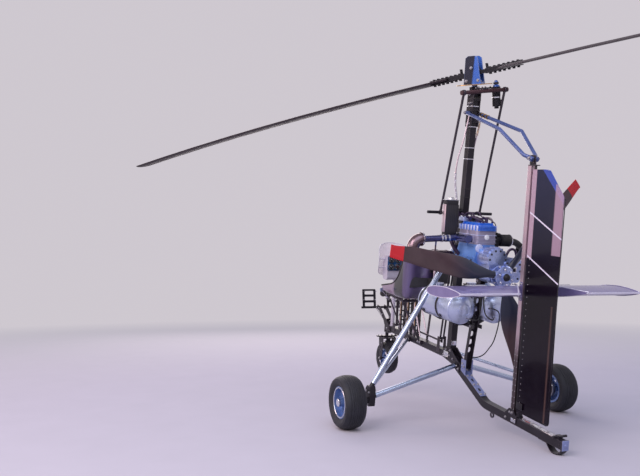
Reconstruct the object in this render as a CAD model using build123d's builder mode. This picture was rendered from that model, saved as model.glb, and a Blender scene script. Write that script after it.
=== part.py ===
from build123d import *
import os
from math import asin, atan2, atan, cos, degrees, hypot, radians, sin, sqrt, tan

os.makedirs("parts", exist_ok=True)

# A single-seat open-frame gyrocopter, parked tail down with its nose wheel off the ground.
# It is laid out level, in millimetres: x to port, y aft of the main axle, z up from the line
# that the main tyres stand on. finish() turns each piece on to the tail skid, as it parks.

# Running gear
track = 1784
tyre_radius = 185
tyre_width = 150
main_bead_half = 54
rim_radius = 101
rim_wall = 5
nose_tyre_radius = 141
nose_tyre_width = 94
nose_rim_radius = 72
nose_bead_half = 32
nose_wheel_y = -1178
nose_wheel_z = 169
axle_radius = 12.5
running_gap = 0.05

# Frame tubes, all square tube of one size
tube = 50.8
tube_wall = 3.2
keel_z = 445
keel_front_y = -1150
drop_top_y = -127
drop_low_y = 353
tail_z = 222
keel_rear_y = 1150
mast_foot_y = -135
mast_top_y = -42
mast_top_z = 2384
plate = 6.0
drop_angle = degrees(atan2(keel_z - tail_z, drop_low_y - drop_top_y))
keel_top = keel_z + tube / 2
tail_top = tail_z + tube / 2
mast_lean = degrees(atan2(mast_top_y - mast_foot_y, mast_top_z - keel_top))

# Tail skid, whose round heel touches the ground
skid_y = 1085
skid_radius = 70
skid_low = 150
skid_thickness = 5
skid_width = 46

# Rotor
rotor_radius = 3658
blade_chord = 178
blade_thickness = 21
blade_droop = 124
blade_pitch = 5.0
blade_azimuth = 54.3
head_roll = 9.0
head_pitch = 4.5
teeter_at_rest = 8.45
ring_height = 64
ring_radius = 127
bolt_height = 185
undersling = 40

# Propeller, engine and tanks
prop_radius = 866
prop_y = 441
prop_z = 1122
prop_angles = (169, 49, 289)
engine_front_y = -44
engine_rear_y = 232
engine_half = 77
bed_z = 1130
head_top_z = 1468
crank_z = 1228
tank_radius = 108
tank_offset = 141
tank_z = 858
tank_front_y = -284
tank_rear_y = 228

# Tail
hinge_y = 706
fin_front_y = 636
fin_low_z = tail_top
fin_top_z = 1862
fin_thickness = 34
rudder_low_z = 284
rudder_top_z = 1838
rudder_chord = 294
rudder_gap = 6
stab_span = 1320
stab_chord = 382
stab_thickness = 62
stab_front_y = 589
stab_front_z = 1063
stab_pitch = 4.4

# From the rotor's hub to the middle of the whole craft's box, where the origin is
box_shift = (28.62, 12.2)

# Parking: the craft turns about its main axle until the skid's heel meets the ground
heel_y = skid_y
heel_z = skid_low + skid_radius
reach = hypot(heel_y, tyre_radius - heel_z)
park_angle = degrees(asin((tyre_radius - skid_radius) / reach)
                     - atan2(tyre_radius - heel_z, heel_y))
head_centre = Vector(0, mast_top_y, mast_top_z)
head_place = Location(head_centre) * Rotation(-head_pitch, 0, 0) * Rotation(0, head_roll, 0)
spun_place = head_place * Rotation(0, 0, -blade_azimuth)
head = Plane(head_place)
spun = Plane(spun_place)
teeter = Plane(spun_place * Location((0, 0, bolt_height)) * Rotation(0, teeter_at_rest, 0))
level_turn = Location((0, 0, tyre_radius)) * Rotation(-park_angle, 0, 0) * Location((0, 0, -tyre_radius))
hub_centre = (level_turn * Location(teeter.from_local_coords((0, 0, -undersling)))).position
parked = Location((box_shift[0] - hub_centre.X, box_shift[1] - hub_centre.Y, 0)) * level_turn


def finish(piece, name):
    """Label a finished piece, stand it as the craft parks and write it."""
    solid = piece.part.moved(parked)
    solid.label = name
    piece.part.label = name
    export_step(solid, "parts/" + name + ".step")


def round_tube(start, end, radius, wall=0.0):
    """A straight round tube or rod between two points, added to the open part."""
    axis = Vector(*end) - Vector(*start)
    with BuildSketch(Plane(origin=start, z_dir=axis)) as ring:
        Circle(radius)
        if wall:
            Circle(radius - wall, mode=Mode.SUBTRACT)
    extrude(ring.sketch, amount=axis.length)


def square_tube(start, end, width, wall):
    """A square tube that lies in the craft's middle plane or along x."""
    axis = Vector(*end) - Vector(*start)
    across = (1, 0, 0) if abs(axis.X) < 1 else (0, 1, 0)
    with BuildSketch(Plane(origin=start, x_dir=across, z_dir=axis)) as square:
        Rectangle(width, width)
        Rectangle(width - 2 * wall, width - 2 * wall, mode=Mode.SUBTRACT)
    extrude(square.sketch, amount=axis.length)


def side_plate(outline, x_inner, thickness, corner=6.0):
    """A flat plate in a plane of constant x, from corners given as (y, z)."""
    with BuildSketch(Plane.YZ.offset(x_inner)) as face:
        Polygon(*outline, align=None)
        if corner:
            fillet(face.vertices(), corner)
    extrude(face.sketch, amount=thickness)


def wing_section(chord, thickness, tail, crest_share=0.3):
    """A wing section from nose (0, 0) to tail (chord, 0), added to the open sketch."""
    crest = crest_share * chord
    with BuildLine() as outline:
        EllipticalCenterArc((crest, 0), crest, thickness / 2, start_angle=90, arc_size=90)
        upper = TangentArc((crest, thickness / 2), (chord, tail / 2), tangent=(1, 0))
        EllipticalCenterArc((crest, 0), crest, thickness / 2, start_angle=180, arc_size=90)
        lower = TangentArc((crest, -thickness / 2), (chord, -tail / 2), tangent=(1, 0))
        Line(upper @ 1, lower @ 1)
    add(make_face(outline.line, mode=Mode.PRIVATE))


def keel_plane(y):
    """A plane on top of the sloping keel at y, its z square to the slope."""
    z = keel_z - (y - drop_top_y) * tan(radians(drop_angle)) + tube / 2 / cos(radians(drop_angle))
    slope = radians(drop_angle)
    return Plane(origin=(0, y, z), x_dir=(1, 0, 0), z_dir=(0, sin(slope), cos(slope)))


def mast_y(z):
    """The mast's middle line at a height."""
    return mast_foot_y + (z - keel_top) * tan(radians(mast_lean))


# Keel: front boom, sloping drop and tail boom, bent from one tube
with BuildPart() as keel:
    with BuildLine(Plane.YZ) as route:
        FilletPolyline((keel_front_y, keel_z), (drop_top_y, keel_z), (drop_low_y, tail_z),
                       (keel_rear_y, tail_z), radius=150)
    with BuildSketch(Plane(origin=(0, keel_front_y, keel_z), x_dir=(1, 0, 0), z_dir=(0, 1, 0))) as section:
        Rectangle(tube, tube)
        Rectangle(tube - 2 * tube_wall, tube - 2 * tube_wall, mode=Mode.SUBTRACT)
    sweep(path=route.line)
    # pin hole through the rear end, for a tie-down
    with Locations(Location((0, keel_rear_y - 18, tail_z), (0, 90, 0))):
        Cylinder(5, tube + 2, mode=Mode.SUBTRACT)
finish(keel, "keel")

# Mast
mast_head_z = mast_top_z - 34
with BuildPart() as mast:
    square_tube((0, mast_y(keel_top + 5), keel_top + 5), (0, mast_y(mast_head_z), mast_head_z), tube, tube_wall)
finish(mast, "mast")

# Cluster plates that clamp the mast's foot, the keel and the lower gear struts
with BuildPart() as mast_foot_plates:
    foot_outline = ((-205, 424), (-205, 466), (-165, 512), (-98, 512), (-40, 470), (48, 416), (30, 352), (-60, 398))
    for side_x in (tube / 2, -tube / 2 - plate):
        side_plate(foot_outline, side_x, plate, 9)
    round_tube((tube / 2, mast_y(490), 490), (tube / 2 + plate + 5, mast_y(490), 490), 9)
    round_tube((-tube / 2, mast_y(490), 490), (-tube / 2 - plate - 5, mast_y(490), 490), 9)
finish(mast_foot_plates, "mast_foot_plates")

# Perforated channel that props the engine bed off the sloping keel
post_low = keel_plane(84)
post_top_y = 205
post_slots = 8
post_pitch = 62
post_foot = 20
post_half = 27
post_axis = Vector(0, post_top_y - 84, bed_z - 12 - post_low.origin.Z - post_foot)
post_plane = Plane(origin=(0, 84, post_low.origin.Z + post_foot), x_dir=(1, 0, 0), z_dir=post_axis)
with BuildPart() as aft_post:
    with BuildSketch(post_plane):
        with BuildLine():
            Polyline((-post_half, -12), (post_half, -12), (post_half, 16), (post_half - 4, 16), (post_half - 4, -8),
                     (4 - post_half, -8), (4 - post_half, 16), (-post_half, 16), close=True)
        make_face()
    extrude(amount=post_axis.length)
    slot_face = Plane(origin=post_plane.origin, x_dir=(1, 0, 0), z_dir=post_plane.y_dir)
    with BuildSketch(slot_face.offset(-20)):
        with Locations((0, -post_axis.length / 2)):
            with GridLocations(0, post_pitch, 1, post_slots):
                SlotOverall(40, 26, rotation=90)
    extrude(amount=20, mode=Mode.SUBTRACT)
finish(aft_post, "aft_post")

# Gusset on the sloping keel, with its two lightening holes and the post's foot
gusset_start = 60
gusset_length = 285
gusset_plane = keel_plane(gusset_start)
with BuildPart() as drop_gusset:
    with BuildSketch(gusset_plane):
        with Locations((0, gusset_length / 2)):
            RectangleRounded(tube, gusset_length, 12)
        with Locations((0, 120), (0, 222)):
            SlotOverall(34, 20, rotation=90, mode=Mode.SUBTRACT)
    extrude(amount=plate)
    for ear_x in (post_half, -post_half - 5):
        side_plate(((62, 385), (62, 470), (118, 470), (118, 360)), ear_x, 5, 0)
finish(drop_gusset, "drop_gusset")

# Main gear: on each side an upper strut, a lower strut and a drag brace meet at a knuckle
knuckle_x = 716
knuckle_half = 22
wheel_x = track / 2
hub_inner_x = wheel_x - main_bead_half - 4
stub_end_x = wheel_x + main_bead_half + 5
strut_radius = 19
brace_radius = 12.5
strut_wall = 2.5
spigot_length = 34
strut_rows = (
    # strut, knuckle point, frame point, radius, bare length at the knuckle and at the frame, spigot start
    ("upper", (knuckle_x, 0, 284), (34, -92, 1293), strut_radius, 26, 34, 9),
    ("lower", (knuckle_x, 2, 210), (40, -2, 404), strut_radius, 36, 9, 2),
    ("drag", (knuckle_x, -14, 258), (34, -752, 434), brace_radius, 44, 21, 2),
)


def strut_point(row, side, distance, from_frame):
    """A point on a strut's axis, a distance from its knuckle point or its frame point."""
    knuckle, anchor = Vector(*row[1]), Vector(*row[2])
    along = (anchor - knuckle).normalized()
    point = anchor - along * distance if from_frame else knuckle + along * distance
    return (side * point.X, point.Y, point.Z)


with BuildPart() as gear_struts:
    for row in strut_rows:
        for side in (1, -1):
            round_tube(strut_point(row, side, row[4], False), strut_point(row, side, row[5], True), row[3], strut_wall)
finish(gear_struts, "gear_struts")

# Lugs on the frame, each with a spigot that enters its strut
with BuildPart() as strut_lugs:
    lug_rows = (
        # outline in (y, z), inner face, thickness
        (((-122, 1264), (-122, 1322), (-64, 1322), (-64, 1264)), tube / 2, 12),
        (((-28, 388), (-28, 424), (26, 424), (26, 388)), tube / 2 + plate, 10),
        (((-778, 414), (-778, 454), (-726, 454), (-726, 414)), tube / 2, 12),
    )
    for side in (1, -1):
        for (outline, inner, thickness), row in zip(lug_rows, strut_rows):
            side_plate(outline, inner if side > 0 else -inner - thickness, thickness, 4)
            spigot = row[3] - strut_wall - 0.3
            round_tube(strut_point(row, side, row[6], True), strut_point(row, side, row[5] + spigot_length, True), spigot)
finish(strut_lugs, "strut_lugs")

# Knuckles with the stub axles and the spigots of the struts
with BuildPart() as axle_knuckles:
    for side in (1, -1):
        with BuildSketch(Plane.YZ.offset(side * (knuckle_x + knuckle_half))) as cheek:
            Polygon((-34, 150), (30, 150), (36, 236), (22, 292), (-22, 292), (-46, 262), align=None)
            fillet(cheek.vertices(), 8)
        extrude(amount=-side * 2 * knuckle_half)
        for row in strut_rows:
            spigot = row[3] - strut_wall - 0.3
            round_tube(strut_point(row, side, 2, False), strut_point(row, side, row[4] + spigot_length, False), spigot)
        for start_x, end_x, radius in ((knuckle_x + knuckle_half, hub_inner_x - 1, 24),
                                       (hub_inner_x - 1, stub_end_x, axle_radius),
                                       (stub_end_x, stub_end_x + 12, 17)):
            round_tube((side * start_x, 0, tyre_radius), (side * end_x, 0, tyre_radius), radius)
finish(axle_knuckles, "axle_knuckles")


def wheel_tyre(radius, width, rim, bead_half):
    """A ribbed tyre about the x axis, centred on x = 0, with its beads on the rim."""
    half = width / 2
    shoulder = 0.34 * width
    belly = rim + 0.6 * (radius - rim)
    with BuildSketch() as section:
        with BuildLine():
            crown = ThreePointArc((-shoulder, radius - 9), (0, radius), (shoulder, radius - 9))
            right = ThreePointArc(crown @ 1, (half, belly), (bead_half, rim + 11))
            bead = Polyline(right @ 1, (bead_half, rim), (-bead_half, rim), (-bead_half, rim + 11))
            ThreePointArc(bead @ 1, (-half, belly), crown @ 0)
        make_face()
        with GridLocations(width * 0.17, 1, 3, 1):
            with Locations((0, radius)):
                Rectangle(4, 12, mode=Mode.SUBTRACT)
    revolve(section.sketch, axis=Axis.X)


def wheel_rim(rim, bead_half, bore, out):
    """A dished rim with a hub and bead flanges, centred on x = 0, dished towards out."""
    edge = bead_half + 0.3
    lip = edge + 5
    disc = out * 14
    hub = bead_half + 4
    inner = rim - rim_wall
    with BuildSketch() as section:
        with BuildLine():
            Polyline((-lip, rim + 9), (-edge, rim + 9), (-edge, rim), (edge, rim), (edge, rim + 9), (lip, rim + 9),
                     (lip, inner), (disc + 4, inner), (disc + 4, bore + 18), (hub, bore + 14), (hub, bore),
                     (-hub, bore), (-hub, bore + 14), (disc - 4, bore + 18), (disc - 4, inner), (-lip, inner), close=True)
        make_face()
    revolve(section.sketch, axis=Axis.X)


# Main wheels
rim_window = 15
rim_window_ring = 58
for side, name in ((1, "left"), (-1, "right")):
    centre = Location((side * wheel_x, 0, tyre_radius))
    with BuildPart() as main_tyre:
        wheel_tyre(tyre_radius, tyre_width, rim_radius, main_bead_half)
    main_tyre.part.move(centre)
    finish(main_tyre, "main_tyre_" + name)
    with BuildPart() as main_rim:
        wheel_rim(rim_radius, main_bead_half, axle_radius + running_gap, side)
        with BuildSketch(Plane.YZ.offset(side * 14 - 20)):
            with PolarLocations(rim_window_ring, 6):
                Circle(rim_window)
        extrude(amount=40, mode=Mode.SUBTRACT)
    main_rim.part.move(centre)
    finish(main_rim, "main_rim_" + name)

# Steering head at the keel's front end with the pedals' bracket, and the fork that turns in it
pedal_y = -1340
pedal_z = 610
bracket_outline = ((-1168, 430), (-1100, 430), (-1110, 470), (-1300, 612), (-1358, 618), (-1358, 574), (-1318, 574),
                   (-1222, 506))
steer_y = -1206
stem_radius = 15
head_low_z = 398
head_high_z = 502
crown_z = 344
crown_thickness = 12
fork_half = 60
fork_plate = 6
with BuildPart() as steering_head:
    with BuildSketch(Plane.XY.offset(head_low_z)):
        with Locations((0, steer_y)):
            Circle(26)
        with Locations((0, (steer_y + keel_front_y) / 2 + 4)):
            Rectangle(38, keel_front_y - steer_y - 8)
        with Locations((0, steer_y)):
            Circle(stem_radius + running_gap, mode=Mode.SUBTRACT)
    extrude(amount=head_high_z - head_low_z)
    for side_x in (tube / 2, -tube / 2 - plate):
        side_plate(((-1196, 422), (-1196, 468), (-1090, 468), (-1090, 422)), side_x, plate, 8)
    with BuildSketch(Plane.XY.offset(422)):
        with Locations((0, -1175)):
            Rectangle(tube, 44)
        with Locations((0, steer_y)):
            Circle(stem_radius + running_gap, mode=Mode.SUBTRACT)
    extrude(amount=46)
    for side_x in (tube / 2 + plate, -tube / 2 - plate - 5):
        side_plate(bracket_outline, side_x, 5, 6)
    with Locations(Location((0, pedal_y, pedal_z - 14), (0, 90, 0))):
        Cylinder(10, 120, mode=Mode.SUBTRACT)
finish(steering_head, "steering_head")

with BuildPart() as nose_fork:
    round_tube((0, steer_y, crown_z), (0, steer_y, head_high_z + 4), stem_radius)
    round_tube((0, steer_y, head_high_z + 4), (0, steer_y, head_high_z + 16), stem_radius + 6)
    with BuildSketch(Plane.XY.offset(crown_z)):
        with Locations((0, (steer_y + nose_wheel_y) / 2)):
            RectangleRounded(2 * fork_half + 2 * fork_plate, 78, 12)
    extrude(amount=crown_thickness)
    for side in (1, -1):
        with BuildSketch(Plane.YZ.offset(fork_half if side > 0 else -fork_half - fork_plate)) as leg:
            Polygon((steer_y - 22, crown_z + 4), (nose_wheel_y + 34, crown_z + 4),
                    (nose_wheel_y + 20, nose_wheel_z - 20), (nose_wheel_y - 20, nose_wheel_z - 20), align=None)
            fillet(leg.vertices(), 10)
            with Locations((nose_wheel_y - 4, nose_wheel_z + 60), (nose_wheel_y - 8, nose_wheel_z + 98),
                           (nose_wheel_y - 10, nose_wheel_z + 136)):
                Circle(9, mode=Mode.SUBTRACT)
        extrude(amount=fork_plate)
    round_tube((-fork_half - 14, nose_wheel_y, nose_wheel_z), (fork_half + 14, nose_wheel_y, nose_wheel_z), 8)
    with BuildSketch(Plane.XY.offset(crown_z + crown_thickness)):
        with Locations((0, steer_y)):
            RectangleRounded(196, 34, 8)
    extrude(amount=10)
finish(nose_fork, "nose_fork")

# A short mudguard bolted under the fork's crown
guard_radius = nose_tyre_radius + 14
with BuildPart() as nose_mudguard:
    with BuildSketch(Plane.YZ.offset(-42)) as guard_side:
        with BuildLine() as guard_line:
            RadiusArc((nose_wheel_y + 8, nose_wheel_z + guard_radius), (nose_wheel_y + 128, nose_wheel_z + 92), guard_radius)
            offset(amount=2, side=Side.LEFT)
        make_face()
    extrude(amount=84)
    with BuildSketch(Plane.XY.offset(nose_wheel_z + guard_radius - 1)):
        with Locations((0, nose_wheel_y + 4)):
            Rectangle(34, 16)
    extrude(amount=crown_z - nose_wheel_z - guard_radius + 1)
finish(nose_mudguard, "nose_mudguard")

nose_centre = Location((0, nose_wheel_y, nose_wheel_z))
with BuildPart() as nose_tyre:
    wheel_tyre(nose_tyre_radius, nose_tyre_width, nose_rim_radius, nose_bead_half)
nose_tyre.part.move(nose_centre)
finish(nose_tyre, "nose_tyre")
with BuildPart() as nose_rim:
    wheel_rim(nose_rim_radius, nose_bead_half, 8 + running_gap, 1)
nose_rim.part.move(nose_centre)
finish(nose_rim, "nose_rim")

# Rudder pedals: ladder plates on a bar ahead of the steering head
pedal_x = 122
pedal_width = 132
pedal_height = 170
pedal_lean = 12
with BuildPart() as pedals:
    round_tube((-200, pedal_y, pedal_z - 14), (200, pedal_y, pedal_z - 14), 10)
    pedal_face = Plane(origin=(0, pedal_y - 4, pedal_z), x_dir=(1, 0, 0),
                       z_dir=(0, -cos(radians(pedal_lean)), -sin(radians(pedal_lean))))
    with BuildSketch(pedal_face) as ladder:
        with Locations((pedal_x, pedal_height / 2 - 20), (-pedal_x, pedal_height / 2 - 20)):
            RectangleRounded(pedal_width, pedal_height, 8)
            with GridLocations(1, pedal_height * 0.31, 1, 3):
                RectangleRounded(pedal_width - 44, 32, 6, mode=Mode.SUBTRACT)
    extrude(amount=5)
finish(pedals, "rudder_pedals")

# Mast head: cheek plates bolted each side of the mast's top carry the gimbal's pivot
cheek_low_z = 2150
cheek_gap = 0.2
with BuildPart() as mast_cheeks:
    low_y, high_y = mast_y(cheek_low_z), mast_top_y
    for side_x in (tube / 2, -tube / 2 - plate):
        with BuildSketch(Plane.YZ.offset(side_x)) as cheek:
            Polygon((low_y - 38, cheek_low_z), (low_y + 38, cheek_low_z), (high_y + 40, mast_top_z + 18),
                    (high_y - 40, mast_top_z + 18), align=None)
            fillet(cheek.vertices(), 12)
            with Locations((high_y, mast_top_z)):
                Circle(8 + running_gap, mode=Mode.SUBTRACT)
            with Locations((mast_y(2215), 2215), (mast_y(2300), 2300)):
                Circle(9, mode=Mode.SUBTRACT)
        extrude(amount=plate)
    for z in (2180, 2262, 2335):
        with BuildSketch(Plane(origin=(0, mast_y(z), z), x_dir=(1, 0, 0), z_dir=(0, sin(radians(mast_lean)), cos(radians(mast_lean))))):
            Rectangle(tube + 2 * plate + 8, tube + 18)
            Rectangle(tube, tube + 10, mode=Mode.SUBTRACT)
        extrude(amount=14)
finish(mast_cheeks, "mast_cheeks")

# Gimbal: pivots in the cheeks, holds the rotor's bearing and the torque bar behind it
torque_y = 128
torque_half = 182
pushrod_x = 168
bearing_radius = 36
motor_angle = 150
pinion_radius = 19
motor_reach = ring_radius + pinion_radius + 6
motor_x = motor_reach * cos(radians(motor_angle))
motor_y = motor_reach * sin(radians(motor_angle))
pitch_block = Plane(origin=head_centre, x_dir=(1, 0, 0), z_dir=(0, sin(radians(head_pitch)), cos(radians(head_pitch))))
with BuildPart() as gimbal:
    with BuildSketch(pitch_block.offset(-20)):
        RectangleRounded(38, 46, 5)
    extrude(amount=36)
    round_tube((-tube / 2 - plate - 8, mast_top_y, mast_top_z), (tube / 2 + plate + 8, mast_top_y, mast_top_z), 8)
    with BuildSketch(head.offset(8)):
        RectangleRounded(40, 50, 5)
    extrude(amount=20)
    with BuildSketch(head.offset(28)):
        Circle(bearing_radius)
    extrude(amount=ring_height - 28 - 12)
    with BuildSketch(head.offset(32)):
        with Locations((0, torque_y / 2)):
            Rectangle(46, torque_y + 20)
        with Locations((motor_x / 2, motor_y / 2)):
            Rectangle(motor_reach + 56, 56, rotation=motor_angle)
        with Locations((motor_x, motor_y)):
            Circle(8, mode=Mode.SUBTRACT)
    extrude(amount=10)
finish(gimbal, "rotor_gimbal")
with BuildPart() as torque_bar:
    round_tube(head.from_local_coords((-torque_half, torque_y, 18)),
               head.from_local_coords((torque_half, torque_y, 18)), 13.7, 3)
    for side in (1, -1):
        round_tube(head.from_local_coords((side * torque_half, torque_y, 18)),
                   head.from_local_coords((side * (torque_half + 8), torque_y, 18)), 16)
finish(torque_bar, "torque_bar")

# Pre-rotator motor behind the ring gear, with its pinion just out of mesh
tooth_depth = 8
with BuildPart() as pre_rotator:
    with BuildSketch(head.offset(-96)):
        with Locations((motor_x, motor_y)):
            Circle(29)
    extrude(amount=118)
    with BuildSketch(head.offset(22)):
        with Locations((motor_x, motor_y)):
            Circle(33)
    extrude(amount=9.7)
    with BuildSketch(head.offset(31.7)):
        with Locations((motor_x, motor_y)):
            Circle(7)
    extrude(amount=ring_height - 31.7 - 4)
    with BuildSketch(head.offset(ring_height - 4)):
        with Locations((motor_x, motor_y)):
            Circle(pinion_radius - 4)
            with PolarLocations(pinion_radius - 3, 12):
                Rectangle(7, 4)
    extrude(amount=14)
    with BuildSketch(head.offset(-112)):
        with Locations((motor_x, motor_y)):
            Circle(16)
    extrude(amount=16)
finish(pre_rotator, "pre_rotator_motor")

# Rotor hub: ring gear, towers and teeter bolt, turning on the head's axis
tooth_count = 60
with BuildPart() as ring_gear:
    with BuildSketch(spun.offset(ring_height)):
        Circle(ring_radius - tooth_depth / 2)
        with PolarLocations(ring_radius - tooth_depth / 2, tooth_count):
            Trapezoid(tooth_depth + 1, 6, 75, rotation=-90)
        with PolarLocations(82, 6):
            Circle(20, mode=Mode.SUBTRACT)
        Circle(22.2, mode=Mode.SUBTRACT)
    extrude(amount=6)
finish(ring_gear, "ring_gear")

tower_gap = 33
tower_plate = 12
with BuildPart() as towers:
    with BuildSketch(spun.offset(ring_height - 11.7)):
        Circle(22)
    extrude(amount=18)
    with BuildSketch(spun.offset(ring_height + 6)):
        RectangleRounded(132, 2 * (tower_gap + tower_plate), 8)
    extrude(amount=14)
    for side in (1, -1):
        tower_face = Plane(origin=spun.from_local_coords((0, side * tower_gap + (tower_plate if side > 0 else 0), 0)),
                           x_dir=spun.x_dir, z_dir=spun.y_dir)
        with BuildSketch(tower_face) as cheek:
            Polygon((-62, -ring_height - 18), (62, -ring_height - 18), (44, -ring_height - 190), (26, -ring_height - 204),
                    (-26, -ring_height - 204), (-44, -ring_height - 190), align=None)
            fillet(cheek.vertices().group_by(Axis.Y)[0], 10)
            with Locations((0, -bolt_height)):
                Circle(7.9, mode=Mode.SUBTRACT)
        extrude(amount=-tower_plate)
    bolt_start = spun.from_local_coords((0, -tower_gap - tower_plate - 12, bolt_height))
    bolt_end = spun.from_local_coords((0, tower_gap + tower_plate + 12, bolt_height))
    round_tube(tuple(bolt_start), tuple(bolt_end), 8)
finish(towers, "rotor_towers")

# Teetering rotor: hub bar on its bearing block, straps bolted over the blade roots, blades
bar_half_width = 26
bar_half_length = 200
bar_end = 352
strap_start = 84
strap_length = 266
bar_thickness = 26
with BuildPart() as hub_bar:
    with BuildSketch(teeter.offset(-undersling - bar_thickness / 2)):
        RectangleRounded(2 * bar_half_length, 2 * bar_half_width, 8)
    extrude(amount=bar_thickness)
    with BuildSketch(Plane(origin=teeter.from_local_coords((0, -bar_half_width, 0)), x_dir=teeter.x_dir,
                           z_dir=teeter.y_dir)):
        with BuildLine():
            Polyline((-46, undersling - bar_thickness / 2), (46, undersling - bar_thickness / 2), (20, -18), (-20, -18),
                     close=True)
        make_face()
        Circle(8 + running_gap, mode=Mode.SUBTRACT)
    extrude(amount=2 * bar_half_width)
finish(hub_bar, "rotor_hub_bar")

# Straps above and below each blade root, with their bolts in pairs
strap_bolts = 7
bolt_pitch = 34
with BuildPart() as blade_straps:
    for side in (1, -1):
        for level, height in ((1, 5), (-1, 5)):
            start = level * (bar_thickness / 2)
            with BuildSketch(teeter.offset(-undersling + start)):
                with Locations((side * (strap_start + strap_length / 2), 0)):
                    RectangleRounded(strap_length, 44, 6)
            extrude(amount=level * height)
        with BuildSketch(teeter.offset(-undersling - bar_thickness / 2 - 16)):
            with Locations((side * (strap_start + strap_length / 2), 0)):
                with GridLocations(bolt_pitch, 22, strap_bolts, 2):
                    RegularPolygon(7, 6)
        extrude(amount=12)
        with BuildSketch(teeter.offset(-undersling + bar_thickness / 2 + 4)):
            with Locations((side * (strap_start + strap_length / 2), 0)):
                with GridLocations(bolt_pitch, 22, strap_bolts, 2):
                    RegularPolygon(7, 6)
        extrude(amount=8)
        with BuildSketch(teeter.offset(-undersling + bar_thickness / 2 + 4)):
            with Locations((side * (strap_start + 14), 0)):
                with GridLocations(1, 22, 1, 2):
                    Circle(6)
        extrude(amount=34)
finish(blade_straps, "blade_straps")

# Blades: a straight root between the straps, then a slight downward curve, as they hang when parked
blade_root = 206
blade_span = rotor_radius - bar_end
blade_bays = 8
with BuildPart() as blades:
    for side in (1, -1):
        droop_plane = Plane(origin=teeter.from_local_coords((0, 0, -undersling)), x_dir=teeter.x_dir * side,
                            z_dir=teeter.y_dir * -side)
        tailward = teeter.y_dir * -side * cos(radians(blade_pitch)) - teeter.z_dir * sin(radians(blade_pitch))
        blade_line = [(blade_root, 0)]
        for index in range(blade_bays + 1):
            share = index / blade_bays
            blade_line.append((bar_end + blade_span * share, -blade_droop * share ** 2))
        for along, rise in blade_line:
            with BuildSketch(Plane(origin=droop_plane.from_local_coords((along, rise, 0)), x_dir=tailward,
                                   z_dir=droop_plane.x_dir)):
                with Locations((-0.3 * blade_chord, 0)):
                    wing_section(blade_chord, blade_thickness, 2)
        loft(ruled=True)
finish(blades, "rotor_blades")


def mast_face(z, forward):
    """A plane on the mast's front or aft face at a height."""
    lean = radians(mast_lean)
    out = (0, -cos(lean), sin(lean)) if forward else (0, cos(lean), -sin(lean))
    origin = Vector(0, mast_y(z), z) + Vector(*out) * (tube / 2)
    return Plane(origin=origin, x_dir=(1, 0, 0), z_dir=out)


def collar(centre, along, inner, outer, width):
    """A ring about an axis, centred on a point."""
    middle = Vector(*centre)
    direction = Vector(*along).normalized()
    with BuildSketch(Plane(origin=middle - direction * (width / 2), z_dir=direction)) as ring:
        Circle(outer)
        Circle(inner, mode=Mode.SUBTRACT)
    extrude(ring.sketch, amount=width)


# Rotor controls: a crossbar on the mast's front, rods up to the torque bar and down to the keel
crossbar_z = 1518
crossbar_radius = 11
crossbar_half = 274
crossbar_out = 24
crossbar_plane = mast_face(crossbar_z, True)
crossbar_y = crossbar_plane.from_local_coords((0, 0, crossbar_out)).Y
with BuildPart() as control_crossbar:
    with BuildSketch(crossbar_plane):
        RectangleRounded(84, 70, 6)
    extrude(amount=4)
    with BuildSketch(crossbar_plane.offset(4)):
        with Locations((33, 0), (-33, 0)):
            Rectangle(7, 34)
    extrude(amount=crossbar_out + 12 - 4)
    bar_height = crossbar_plane.from_local_coords((0, 0, crossbar_out)).Z
    round_tube((-crossbar_half, crossbar_y, bar_height), (crossbar_half, crossbar_y, bar_height), crossbar_radius)
finish(control_crossbar, "control_crossbar")

rod_radius = 9
stick_rod_x = 14
stick_y = -1030
stick_top_z = 905
bell_y = -276
bell_z = 545
with BuildPart() as control_rods:
    for side in (1, -1):
        high = head.from_local_coords((side * pushrod_x, torque_y, 18))
        low = Vector(side * pushrod_x, crossbar_y, bar_height)
        down = (low - high).normalized()
        collar(tuple(high), tuple(head.x_dir), 13.75, 20, 14)
        collar(tuple(low), (1, 0, 0), crossbar_radius + 0.05, 17, 14)
        round_tube(tuple(high + down * 17), tuple(low - down * 14), rod_radius)
        bar_point = Vector(side * stick_rod_x, crossbar_y, bar_height)
        bell_point = Vector(side * stick_rod_x, bell_y, bell_z)
        down = (bell_point - bar_point).normalized()
        collar(tuple(bar_point), (1, 0, 0), crossbar_radius + 0.05, 17, 12)
        round_tube(tuple(bar_point + down * 14), tuple(bell_point), 7)
    # bell crank on the keel, the long rod forward and the stick
    round_tube((-34, bell_y, bell_z), (34, bell_y, bell_z), 9)
    for side in (1, -1):
        side_plate(((bell_y - 20, keel_top - 30), (bell_y + 20, keel_top - 30), (bell_y + 14, bell_z + 14),
                    (bell_y - 14, bell_z + 14)), tube / 2 if side > 0 else -tube / 2 - 5, 5, 5)
    round_tube((0, bell_y - 5, bell_z - 24), (0, stick_y + 5, keel_top + 52), 7)
    round_tube((0, bell_y, bell_z + 2), (0, bell_y, bell_z - 34), 8)
    for side in (1, -1):
        side_plate(((stick_y - 22, keel_top - 30), (stick_y + 22, keel_top - 30), (stick_y + 14, keel_top + 40),
                    (stick_y - 14, keel_top + 40)), tube / 2 if side > 0 else -tube / 2 - 5, 5, 5)
    round_tube((-30, stick_y, keel_top + 26), (30, stick_y, keel_top + 26), 7)
    round_tube((0, stick_y, keel_top + 16), (0, stick_y - 10, stick_top_z - 110), 11)
    round_tube((0, stick_y - 10, stick_top_z - 112), (0, stick_y + 6, stick_top_z), 17)
finish(control_rods, "control_rods")

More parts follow.
